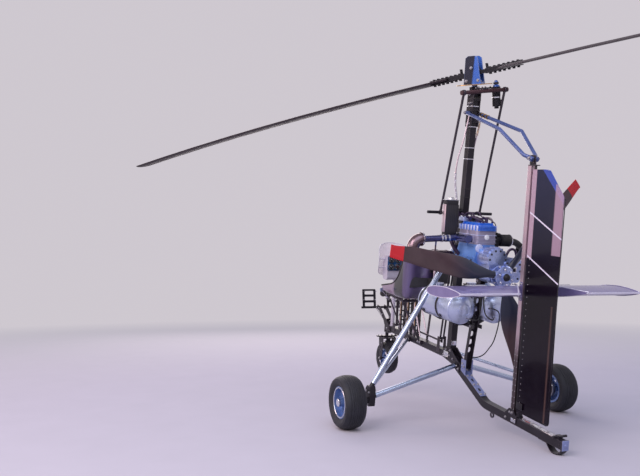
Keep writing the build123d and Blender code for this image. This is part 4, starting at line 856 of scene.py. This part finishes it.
# Ties, links and lit edges among the seat's upright posts
seat_posts = ((-930, 797), (-805, 788), (-680, 779))
links = []
for y, top in seat_posts:
    for side in sides:
        links += kit((pink_metal, block, (2.4, 22, top - 500), (side * 26.4, y, (top + 484) / 2), 0.8),
                     (gold_edge, rod, 3, (side * 27, y + 9, 560), (side * 27, y + 9, 760), 10))
    links += kit(*[(bolt_zinc, rod, 4, (-30, y, z), (30, y, z), 12) for z in (600, 690)])
for side in sides:
    links += kit((black_leg, rod, 5, (side * 31, -930, 610), (side * 31, -680, 560), 12),
                 (pink_metal, rod, 5, (side * 31, -680, 740), (side * 31, -560, 500), 12),
                 (black_leg, rod, 6, (side * 150, -925, 776), (side * 36, -860, 478), 14))
links += kit((bolt_zinc, rod, 4, (-38, -936, 640), (38, -936, 640), 12))
put(links, "seat_post_links")
post_pins = both_sides(*[(30, y, z) for y, top in seat_posts for z in (500, 600, 690)])
put(bolts(post_pins, 6, 5), "seat_post_bolts")


# Rotor head: motor dome and cooling rings, clamps, tether bolts and the drive cable
motor = (-131.6, 76.0, 0)
motor_x, motor_y = motor[:2]
dome_profile = [(0.01, 60), (12, 59), (21, 54), (25.5, 47), (26, 42.2), (0.01, 42.2)]
cap_profile = [(0.01, 89), (7, 88), (12, 84), (14.5, 78), (14.5, 74.3), (0.01, 74.3)]
put(kit((motor_blue, lathe, dome_profile, motor, up, 32),
        (motor_blue, lathe, cap_profile, motor, up, 28),
        *[(black_satin, ring, 29.6, 1.5, (motor_x, motor_y, z), up, 32, 6) for z in range(-84, 12, 12)],
        (black_rubber, block, (22, 26, 30), (motor_x - 32, motor_y, -66), 3),
        (bright_metal, lathe, [(29.3, -36), (31, -36), (31, -28), (29.3, -28)], motor, up, 32)),
    "motor_fittings", frame_at=head_frame)
gimbal_kit = [((x, y, 42), up) for x, y in ((-60, 44), (-30, 96), (30, 96), (26, 60), (-26, 60), (-96, 56))]
put(bolts(gimbal_kit, 5.5, 5), "gimbal_bolts", frame_at=head_frame)
put(bolts(both_sides((39.4, *head_place[1:])), 11, 9), "gimbal_nuts")
tower_nuts = [((0, side * 57, bolt_height), (0, side, 0)) for side in sides]
tower_nuts += [((x, y, 84), up) for x in (-42, 42) for y in (-18, 18)]
tower_nuts += [((x, side * 45, 96), (0, side, 0)) for x in (-44, 44) for side in sides]
put(bolts(tower_nuts, 8, 7), "tower_bolts", body="rotor_hub", frame_at=spun_frame)

cheek_height = 2296
mast_kit = []
for z, finish in ((1918, bright_metal), (1999, bright_metal), (2150, bright_metal), (1700, black_rubber),
                  (1640, black_rubber), (cheek_height, bright_metal)):
    size = (66, 70, 8) if z == cheek_height else (54, 54, 7)
    collar = paint(block(size, (0, 0, 0), 1.5), finish)
    collar.data.transform(mast_frame(z))
    mast_kit.append(collar)
put(mast_kit, "mast_bands")

brace_start, brace_bend = Vector((-55, -44, 2247)), Vector((-88, 418, 2100))
brace_run = brace_bend - brace_start
stay_start = brace_start + brace_run * 0.05 + Vector((0, 0, -12))
stay_end = Vector((-30, mast_y(2000) + 8, 2000))
gold = [paint(hoop(12.3, 16.5, 6, brace_start + brace_run * share, brace_run, 28), gold_edge)
        for share in (0.07, 0.14, 0.21)]
gold += [paint(rod(5, stay_start, stay_end, 16), pink_metal),
         coil(stay_start.lerp(stay_end, 0.2), stay_start.lerp(stay_end, 0.6), 8, 1.8, 10, gold_edge)]
put(gold, "brace_spring_unit")

cable_points = ((34, -34, 2240), (44, -46, 2150), (62, -52, 2040), (92, -60, 1930), (104, -64, 1820),
                (96, -70, 1720), (70, -78, 1620), (52, -86, 1560))
put([paint(line(cable_points, 5), pink_metal),
     coil((104, -64, 1815), (96, -70, 1722), 8.5, 2.2, 9, bright_metal),
     coil((95, -70, 1718), (72, -78, 1626), 8.5, 2.2, 9, bright_metal)], "rotor_drive_cable")

# Brace clamps at the fin's top
brace_ends = []
for side in sides:
    brace_ends += kit((brace_blue, rod, 16, (side * 16, 690, 1900), (side * 26, 655, 1916), 20, 2),
                      (black_steel, block, (5, 40, 60), (side * 7, 672, 1900), 2))
put(brace_ends, "brace_end_clamps")
put(bolts(both_sides((34, 677, 1909), (70, -44, 2247)), 9, 7), "brace_bolts")


# Engine: ribs, bolts, leads, pipes and filters on the castings
head_ribs = [block((7, 20, 36), (x, -4 + 37 * index, 1431), 1.6) for x in (76, -76) for index in range(7)]
put(head_ribs, "head_side_ribs", pale_casting)
put([block((132, 6, 5), (0, 232.5, 1417 + 9 * index), 1.2) for index in range(4)], "head_rear_ribs",
    engine_blue)
plug_profile = [(0.01, 4), (16, 4), (19, 2.4), (19, 0), (0.01, 0)]
put(kit((dial_white, lathe, plug_profile, (0, 228.2, 1368), aft, 36),
        *[(finish, block, (158, 120, 4), (0, y, 1330 + 26 * index), 1.4)
          for y in (48, 170) for index, finish in enumerate((case_blue, case_blue, pale_casting))]),
    "barrel_ribs")
boss_profile = [(0.01, 9), (22, 9), (28, 6), (30, 0), (0.01, 0)]
put(kit(*[(case_blue, block, (196, 8, 10), (0, 28 + 60 * index, 1232), 2) for index in range(4)],
        (pale_casting, lathe, boss_profile, (60, 233, 1292), aft, 36),
        (case_blue, block, (34, 26, 44), (46, 245, 1270), 5, (0, 0, 12))), "crankcase_ribs")
shaft_z = 1228
gear_case_bolts = ((72, 1206), (122, 1214), (176, 1198), (182, 1152), (164, 1100), (84, 1104))
case_bolts = both_sides(*[(95.5, y, z) for y in (12, 74, 136, 198) for z in (1176, 1206)])
case_bolts += [((x, -38.5, shaft_z + z), ahead) for x, z in circle(60, 8)]
case_bolts += [((-x, 385, z), aft) for x, z in gear_case_bolts]
case_bolts += [((x, 372.5, shaft_z + z), aft) for x, z in circle(62, 6, turn=1.2 * pi)]
put(bolts(case_bolts, 5.5, 5, black_satin), "engine_bolts")
put(kit((black_satin, block, (30, 3, 26), (-128, 385.4, 1160), 1.2),
        (bright_metal, block, (44, 3, 40), (-128, 384.6, 1160), 1.4)), "gearbox_window")
put(kit((pale_casting, block, (54, 62, 30), (44, -2, 1484), 4),
        (dial_white, block, (40, 46, 10), (44, -2, 1503), 3),
        (black_rubber, block, (44, 40, 26), (-40, 4, 1482), 4)), "ignition_boxes")
leads = []
for index, (x, y) in enumerate(((28, 48), (-28, 48), (28, 170), (-28, 170))):
    start = Vector((x + 30, y, 1504))
    goal = Vector((52 if x > 0 else -38, 14 - 8 * index, 1492))
    high = Vector((x + 62, y - 12, 1528 + 6 * index))
    bend = (high + goal) / 2 + Vector((22, 0, 12))
    leads.append(line([start, start + Vector((18, 0, 8)), high, bend, goal], 4.2))
put(leads, "plug_leads", plum_rubber)
coolant_runs = (
    (14, ((0, -40, 1440), (0, -66, 1446), (30, -92, 1500), (84, -70, 1592), (104, -52, 1596))),
    (14, ((139, -36, 1354), (138, -10, 1318), (120, 20, 1262), (92, 30, 1230))),
    (8, ((-60, 20, 1480), (-96, 60, 1500), (-100, 130, 1496), (-60, 196, 1470))),
    (9, ((-92, 330, 1236), (-104, 336, 1286), (-140, 336, 1304), (-178, 332, 1284), (-188, 326, 1222))),
    (7, ((60, 90, 1480), (86, 130, 1512), (70, 190, 1500), (20, 214, 1470))),
)
put([line(points, radius) for radius, points in coolant_runs], "coolant_hoses", plum_rubber)
clips = [hoop(14.4, 16, 5, place, along, 24) for place, along in (
    ((0, -50, 1441), (0, -1, 0.1)), ((97, -57, 1595), (1, 0.6, 0.2)), ((139, -36, 1345), (0, 0.2, -1)))]
clips += [hoop(23.5, 27.6, 6, (x, 57.5, 1352 - (x - 128) * 0.0638), (1, -0.035, -0.064), 32)
          for x in (206, 238, 262)]
put([*clips, hoop(47.4, 49.4, 5, (416, 50, 1334), port, 36)], "hose_clamps", bright_metal)
put([hoop(60.2, 62.2, 3, (x, 50, 1196), port, 48) for x in (206, 300, 392)], "silencer_bands",
    exhaust_steel)


def pleats(count, pitch, outer, inner):
    """The zigzag side of a filter, as a profile."""
    return [pair for index in range(count)
            for pair in ((outer, index * pitch), (inner, index * pitch + pitch / 2))]


filter_profile = pleats(20, 4, 43, 40.2) + [(40.1, 80), (39, 80), (39, 0)]
band_profile = [(40.2, 0), (44.5, 0), (44.5, 6), (40.2, 6)]
filters = []
for y in (40, 162):
    cable = [(-120, y, 1400), (-120, y, 1440), (-112, y - 20, 1478), (-60, y - 40, 1500)]
    filters += kit((black_rubber, lathe, filter_profile, (-156, y, 1345), starboard, 40),
                   (bright_metal, lathe, band_profile, (-232, y, 1345), starboard, 40),
                   (black_satin, rod, 16, (-120, y, 1392), (-120, y, 1400), 24, 2),
                   (black_rubber, line, cable, 3.4),
                   (dull_metal, rod, 19, (-120, y, 1284), (-120, y, 1297), 24, 3))
put(filters, "carburettor_filters")
box_profile = pleats(24, 4.6, 46, 42.6) + [(40, 112), (0.01, 112), (0.01, -4), (40, -4)]
lid_profile = [(0.01, 12), (30, 12), (44, 8), (47.5, 2), (47.5, -4), (0.01, -4)]
duct = [(-244, 162, 1340), (-290, 164, 1336), (-330, 156, 1310), (-362, 150, 1290)]
put(kit((black_rubber, lathe, box_profile, (-392, 96, 1274), aft, 48),
        (black_satin, lathe, lid_profile, (-392, 212, 1274), aft, 48),
        (signal_red, rod, 10, (-418, 170, 1316), (-424, 172, 1338), 20, 2),
        (black_rubber, line, duct, 24),
        (dull_metal, rod, 5, (-210, 330, 1180), (-382, 196, 1240), 12)), "air_filter")


# Radiator cap, filler neck and side straps
cap_profile = [(0.01, 34), (14, 34), (21, 30), (23, 22), (23, 18), (0.01, 18)]
put(kit((bright_metal, lathe, cap_profile, (139, -40, 1600), up, 32),
        (bright_metal, block, (110, 52, 4), (139, -40, 1615.5), 1.5),
        # The port strap is pale pink, a painted highlight on the radiator's lit side; the starboard strap is
        # black
        (pink_metal, block, (4, 44, 200), (192, -40, 1483), 1.2),
        (black_steel, block, (4, 44, 200), (86, -40, 1483), 1.2)), "radiator_trim")


# Propeller hub bolts and cap
first_bolt = radians(19)
hub_kit = [((x, prop_y + y, prop_z + z), aft)
           for y, radius in ((37, 52), (-19, 62)) for x, z in circle(radius, 6, first_bolt)]
put(bolts(hub_kit, 6.5, 6, bright_metal), "propeller_hub_bolts", body="propeller")
spinner = lathe([(0.01, 26), (8, 25), (20, 16), (26, 0), (0.01, 0)], (0, prop_y + 43, prop_z), aft, 36)
put(spinner, "propeller_hub_cap", black_satin, "propeller")


# Tanks: end rings, caps and the straps' buckles
tank_kit = []
for side in sides:
    centre = Vector((side * tank_x, 0, tank_z))
    neck = centre + Vector((0, -134, tank_radius))
    drain = centre + Vector((-30 * side, 232, -60))
    tank_kit += kit((polished_tank, ring, 44, 1.8, centre + Vector((0, 226, 0)), aft, 56, 8),
                    (polished_tank, ring, tank_radius - 2.2, 2.6, centre + Vector((0, 184, 0)), aft, 72, 8))
    ridges = [block((4, 3, 15), neck + Vector((x, y, 23)), 0.8, (0, 0, 20 * index), 1)
              for index, (x, y) in enumerate(circle(37.4, 18))]
    tank_kit += kit((black_satin, join, *ridges),
                    *[(black_steel, block, (34, 26, 9), centre + Vector((0, y, tank_radius + 10)), 2)
                      for y in strap_places],
                    (bolt_zinc, rod, 5, drain, drain - Vector((0, 18, 0)), 14))
start = Vector(hose_points[0])
hose_nut = join(rod(9, start - Vector((0, 4, 0)), start + Vector((0, 12, 0)), 6, 0.8),
                rod(6.2, start, start + Vector((0, 24, 0)), 20, 0.8))
put([*tank_kit, paint(hose_nut, bolt_zinc)], "tank_fittings")
web_inner, web_outer, web_half = tank_radius + 0.3, tank_radius + 3.4, 11
put([hoop(web_inner, web_outer, web_half, (side * tank_x, y, tank_z), aft, 88)
     for side in sides for y in strap_places], "tank_strap_webs", black_satin)
fuel_run = ((96, 236, 796), (80, 262, 786), (40, 262, 800), (20, 236, 830), (14, 222, 900), (12, 214, 1040))
put([line([(side * x, y, z) for x, y, z in fuel_run], 4.5) for side in sides], "fuel_lines",
    black_rubber)


# Seat: a moulded bucket, its sewn pads, the harness and the boxes behind it
seat_half = 184
seat_middle = ((-986, 806), (-930, 801), (-800, 792), (-690, 785), (-615, 793), (-578, 836), (-571, 930),
               (-562, 1060), (-551, 1190))
seat_rim = ((-992, 852), (-930, 866), (-800, 892), (-748, 924), (-706, 962), (-678, 1008), (-652, 1060),
            (-627, 1130), (-604, 1194))
seat_across = ((-1.0, 1.0), (-1.0, 0.55), (-0.985, 0.2), (-0.9, 0.03), (-0.55, 0.0), (0.0, 0.0))


def bucket_shell(half, thickness):
    """The seat's shell: a grid laid from rim to rim along the pan and up the back, thickened and smoothed."""
    columns = list(seat_across) + [(-share, lift) for share, lift in reversed(seat_across[:-1])]
    last_column, last_row = len(columns) - 1, len(seat_middle) - 1
    bpy.ops.mesh.primitive_grid_add(x_subdivisions=last_column, y_subdivisions=last_row, size=2)
    shell = bpy.context.object
    for vertex in shell.data.vertices:
        row = round((vertex.co.y + 1) / 2 * last_row)
        share, lift = columns[round((vertex.co.x + 1) / 2 * last_column)]
        (mid_y, mid_z), (rim_y, rim_z) = seat_middle[row], seat_rim[row]
        vertex.co = (share * half, mid_y + lift * (rim_y - mid_y), mid_z + lift * (rim_z - mid_z))
    apply(shell, "SOLIDIFY", thickness=thickness, offset=0.0)
    return apply(shell, "SUBSURF", levels=2, render_levels=2)


def cushion(size, place, lean, seams):
    """A stuffed pad: a block is remeshed, blown up as cloth and given its cross seams."""
    swell, seam_depth, seam_half, edge_width = 0.009, 0.006, 9.0, 0.05
    pad = block(size, (0, 0, 0), 14, segments=3)
    pad.data.transform(to_metres)
    apply(pad, "REMESH", mode="VOXEL", voxel_size=0.006)
    before = [vertex.co.copy() for vertex in pad.data.vertices]
    cloth = pad.modifiers.new("cloth", "CLOTH")
    cloth.settings.use_pressure = True
    cloth.settings.uniform_pressure_force = 4.0
    cloth.settings.effector_weights.gravity = 0.0
    for frame_number in range(1, 21):
        scene.frame_set(frame_number)
    take(pad)
    bpy.ops.object.modifier_apply(modifier=cloth.name)
    for vertex, start in zip(pad.data.vertices, before):
        moved = vertex.co - start
        if moved.length > swell:
            vertex.co = start + moved.normalized() * swell
    scene.frame_set(1)
    for vertex in pad.data.vertices:
        point = vertex.co
        for seam in seams:
            if point.z > 0:
                point.z -= seam_depth * max(0.0, 1 - abs(point.y * 1000 - seam) / seam_half)
        edge = min(1.0, (0.5 * size[0] * 0.001 - abs(point.x)) / edge_width)
        point.z *= 0.82 + 0.18 * max(0.0, edge)
    apply(pad, "SUBSURF", levels=1, render_levels=1)
    pad.data.transform(to_millimetres)
    pad.data.transform(Matrix.Translation(place) @ Matrix.Rotation(radians(lean), 4, "X"))
    return pad


put(bucket_shell(seat_half, 9), "seat_bucket", seat_purple, instead=("seat_shell",), smooth=60)
top_edge = ((184, -604, 1194), (182, -556, 1196), (120, -551, 1196))
trim = [line([(side * seat_half, y, z + 1) for y, z in seat_rim], 6.5) for side in sides]
trim.append(line(top_edge + tuple((-x, y, z) for x, y, z in reversed(top_edge)), 6))
put(trim, "seat_edge_trim", black_rubber)

back_pad = cushion((322, 290, 30), (0, -590, 1024), 92.8, (-90, -30, 30, 90))
base_pad = cushion((322, 296, 30), (0, -812, 829), -3.9, (-80, 0, 80))
for name, pad in (("seat_back_pad", back_pad), ("seat_base_pad", base_pad)):
    put(pad, name, pad_cloth, instead=("seat_pads",), smooth=60)


def web(points, start_x, end_x, width):
    """A flat belt along points of the side view, from one x to another."""
    mesh = bpy.data.meshes.new("web")
    corners, faces = [], []
    for index, (y, z) in enumerate(points):
        middle = start_x + (end_x - start_x) * index / (len(points) - 1)
        corners += [(middle - width / 2, y, z), (middle + width / 2, y, z)]
        if index:
            faces.append((2 * index - 2, 2 * index - 1, 2 * index + 1, 2 * index))
    mesh.from_pydata(corners, [], faces)
    piece = bpy.data.objects.new("web", mesh)
    scene.collection.objects.link(piece)
    apply(piece, "SUBSURF", levels=2, render_levels=2)
    return apply(piece, "SOLIDIFY", thickness=2.2)


shoulder_run = ((-545, 1150), (-548, 1200), (-570, 1208), (-600, 1180), (-616, 1120), (-618, 1040),
                (-622, 960), (-650, 895), (-700, 866))
lap_run = ((-640, 846), (-668, 862), (-715, 862), (-752, 858))
belts = []
for side in sides:
    belts += [web(shoulder_run, side * 66, side * 40, 44), web(lap_run, side * 150, side * 30, 46)]
put(belts, "harness_webbing", belt_web)
buckle = [block((60, 56, 10), (0, -748, 866), 3, (4, 0, 0)), rod(17, (0, -748, 870), (0, -747, 878), 28, 2)]
for side in sides:
    buckle += [block((50, 12, 6), (side * 62, -617, 1060), 2, (80, 0, 0)),
               block((50, 12, 6), (side * 112, -700, 868), 2, (4, 0, 0))]
put(buckle, "harness_buckles", bright_metal)
wire_run = ((0, -484, 950), (6, -462, 920), (24, -470, 880), (30, -500, 850))
put(kit((black_satin, block, (120, 62, 96), (-112, -514, 984), 5),
        (black_rubber, block, (104, 6, 80), (-112, -481, 984), 3),
        (black_rubber, block, (70, 44, 60), (-30, -522, 946), 4),
        (pink_metal, rod, 11, (-34, -504, 976), (-34, -504, 1040), 24, 2),
        (bolt_zinc, rod, 6, (-34, -504, 1040), (-34, -504, 1056), 16, 1),
        (signal_red, block, (14, 60, 12), (-150, -520, 1040), 2),
        (black_steel, block, (150, 8, 26), (-90, -545, 1032), 2),
        *[(plum_rubber, line, [(x + across, y, z) for across, y, z in wire_run], 3)
          for x in (-150, -124, -98, -72)]), "electrics_box")


# Throttle and brake levers at the seat's port side, and the stick's grip
knob_profile = [(0.01, 7), (22, 7), (27, 3), (27, -3), (22, -7), (0.01, -7)]
put(kit((edge_pale, rod, 6, (166, -900, 752), (210, -900, 790), 16, 1),
        (black_rubber, lathe, knob_profile, (213, -900, 795), (0.44, 0.88, 0.2), 36),
        (black_steel, block, (40, 30, 8), (158, -900, 748), 2),
        (bolt_zinc, rod, 9, (158, -900, 752), (158, -900, 762), 20, 2),
        (bolt_zinc, rod, 3.5, (166, -870, 752), (240, -868, 822), 12, 1),
        (blue_silver, block, (30, 6, 32), (246, -868, 832), 2.5, (0, 14, 0))), "throttle_levers")
grip = [ring(17.4, 1.6, (0, -1040 + 16 * share, 793 + 112 * share), (0, 0.14, 0.99), 32, 6)
        for share in (0.2, 0.32, 0.44, 0.56, 0.68)]
put([*grip, rod(11, (0, -1024, 904), (0, -1022, 916), 24, 3)], "stick_grip", black_rubber)


# Instruments: a blue panel with six plain dials, and the windscreen
panel_z = 1030
face_y = -1071
bezel_profile = [(23.5, 0), (27.8, 0), (27.8, 5), (26, 7), (23.5, 4)]
dial_profile = [(0.01, 1.2), (23.6, 1.2), (23.6, 0), (0.01, 0)]


def on_dial(x, z, length, thickness, lift, reach, degrees):
    """A small bar on a dial's face, at an angle and a distance from its middle."""
    angle = radians(degrees)
    place = (x - reach * cos(angle), face_y + lift, z + reach * sin(angle))
    return block((length, 0.8, thickness), place, turn=(0, degrees, 0))


panel_parts = [paint(block((196, 2.4, 130), (0, -1077.4, panel_z), 1), panel_blue)]
for index, swing in enumerate((40, 75, 120, 60, 100, 150)):
    x = (index % 3 - 1) * 62
    z = panel_z + (31 if index < 3 else -31)
    panel_parts += kit((black_satin, lathe, bezel_profile, (x, face_y, z), aft, 40),
                       (dial_black, lathe, dial_profile, (x, face_y, z), aft, 40))
    ticks = [on_dial(x, z, 5, 1.6, 1.7, 18.5, degrees) for degrees in range(-45, 226, 30)]
    needle = [on_dial(x, z, 15, 1.8, 2.2, 6.5, swing), rod(2.4, (x, face_y + 1, z), (x, face_y + 3.2, z), 16)]
    panel_parts += kit((dial_white, join, *ticks), (signal_red if index == 4 else dial_white, join, *needle))
put(panel_parts, "instrument_panel")
put(bolts([((x, -1076.2, z), aft) for x in (-90, 90) for z in (972, 1088)], 4, 3), "panel_screws")


def screen_point(across, rise):
    """A place on the windscreen, from two shares that run from -1 to 1; its outline is a rounded oval."""
    screen_radius, half_turn, half_height, rounding = 163.5, 75, 145, 0.42
    turn = radians(270 + half_turn * across * sqrt(1 - rounding * rise * rise))
    lift = half_height * rise * sqrt(1 - rounding * across * across)
    return Vector((screen_radius * cos(turn), -1080 + screen_radius * sin(turn), 1050 + lift))


bpy.ops.mesh.primitive_grid_add(x_subdivisions=40, y_subdivisions=20, size=2)
screen = bpy.context.object
for vertex in screen.data.vertices:
    vertex.co = screen_point(vertex.co.x, vertex.co.y)
put(apply(screen, "SOLIDIFY", thickness=2.4), "curved_screen", screen_clear,
    instead=("windscreen",), smooth=60)
shares = [index / 10 for index in range(-9, 11)]
loop = [(-1, -1), *[(share, -1) for share in shares], *[(1, share) for share in shares],
        *[(-share, 1) for share in shares], *[(-1, -share) for share in shares[:-1]]]
put(line([screen_point(*pair) for pair in loop], 2.6, closed=True), "windscreen_edge", pod_white)


# Pedals: toe plates' bolts and return springs
pedal_bolts = [((side * x, -1347, z), ahead) for side in sides for x in (66, 178) for z in (604, 664, 740)]
put(bolts(pedal_bolts, 5, 4), "pedal_bolts")
put([coil((side * 60, -1328, 596), (side * 32, -1236, 520), 7, 1.6, 12, bolt_zinc) for side in sides],
    "pedal_springs")


# Tail: rivets of the fin, the rudder's edges and straps, the stabiliser's edge lines and bracket
def rivets(profile, places):
    """Round rivet heads, modelled once and copied to each (place, outward axis)."""
    return copies(lathe(profile, (0, 0, 0), up, 10), [facing(place, out) for place, out in places])


fin_rows = [290 + 39.5 * index for index in range(40)]
fin_rivets = [((side * 17, y, z), (side, 0, 0)) for side in sides for z in fin_rows for y in (652, 676)
              if not 1000 < z < 1122]
put(rivets([(0.01, 1.5), (2.2, 1.2), (3.4, 0), (0.01, 0)], fin_rivets), "fin_rivets", bolt_zinc)
rudder_half = 17 - 15 * (728 - hinge_y) / 294
rudder_rivets = [((side * rudder_half, 728, 312 + 40 * index), (side, 0, 0))
                 for side in sides for index in range(38)]
put(rivets([(0.01, 1.4), (2.0, 1.1), (3.0, 0), (0.01, 0)], rudder_rivets), "rudder_rivets",
    bolt_zinc, "rudder")
put([block((5.4, 4, 1352), (0, 991.6, 990), 1, (-0.58, 0, 0)), block((22, 270, 3), (0, 850, 283.4), 1)],
    "rudder_edge_strip", black_satin, "rudder")
horn = [block((5, 60, 44), (side * 24, 738, 330), 6) for side in sides]
horn += [block((16, 44, 30), (side * 14, 736, 330), 3) for side in sides]
put(horn, "rudder_horn", black_satin, "rudder")

wing_frame = Matrix.Translation((0, 589, 1063)) @ Matrix.Rotation(radians(4.4), 4, "X")
section = ((0, 0), (6, 13), (40, 25), (100, 31.5), (162, 33.4), (232, 31), (302, 22), (352, 12.5), (385, 4.5))
outline = section + tuple((y, -z) for y, z in reversed(section[1:]))
notch = ((53, 86, 30.5), (112, 170, 33.8), (183, 268, 27.5), (262, 380, 4.5))
edge_lines, bracket = [], []
for side in sides:
    edge_lines.append(line([(side * 662.5, y, z) for y, z in outline], 2.2, closed=True))
    edge_lines += [line([(side * x, 382, z) for x in (265, 400, 530, 661)], 3.4) for z in (3, -3)]
    edge_lines += [line([(side * x, y, level * z) for x, y, z in notch], 4.0) for level in sides]
    edge_lines.append(block((4.4, 352, 26), (side * 157, 232, 0), 0.8, (0, 0, side * -35.4)))
# The edge lines are painted pale as a painted highlight along the stabiliser's edges
put(edge_lines, "stabiliser_edge_lines", edge_pale, frame_at=wing_frame)
for side in sides:
    bracket += [block((46, 26, 4), (side * 74, 74, z), 1.5) for z in (35, -35)]
    bracket += [block((4, 26, 70), (side * 52, 74, 0), 1.5),
                block((150, 18, 2.4), (side * 330, 40, 27.4), 0.8, (-24, 0, 0))]
put(bracket, "stabiliser_brackets", bright_metal, frame_at=wing_frame)
wing_up = wing_frame.to_3x3() @ Vector(up)
wing_pins = [(wing_frame @ Vector((side * x, 74, 37)), wing_up) for side in sides for x in (62, 86)]
wing_pins += [((side * 20, y, z), (side, 0, 0)) for side in sides for y in (660, 674) for z in (1012, 1110)]
put(bolts(wing_pins, 4.5, 4), "stabiliser_bolts")
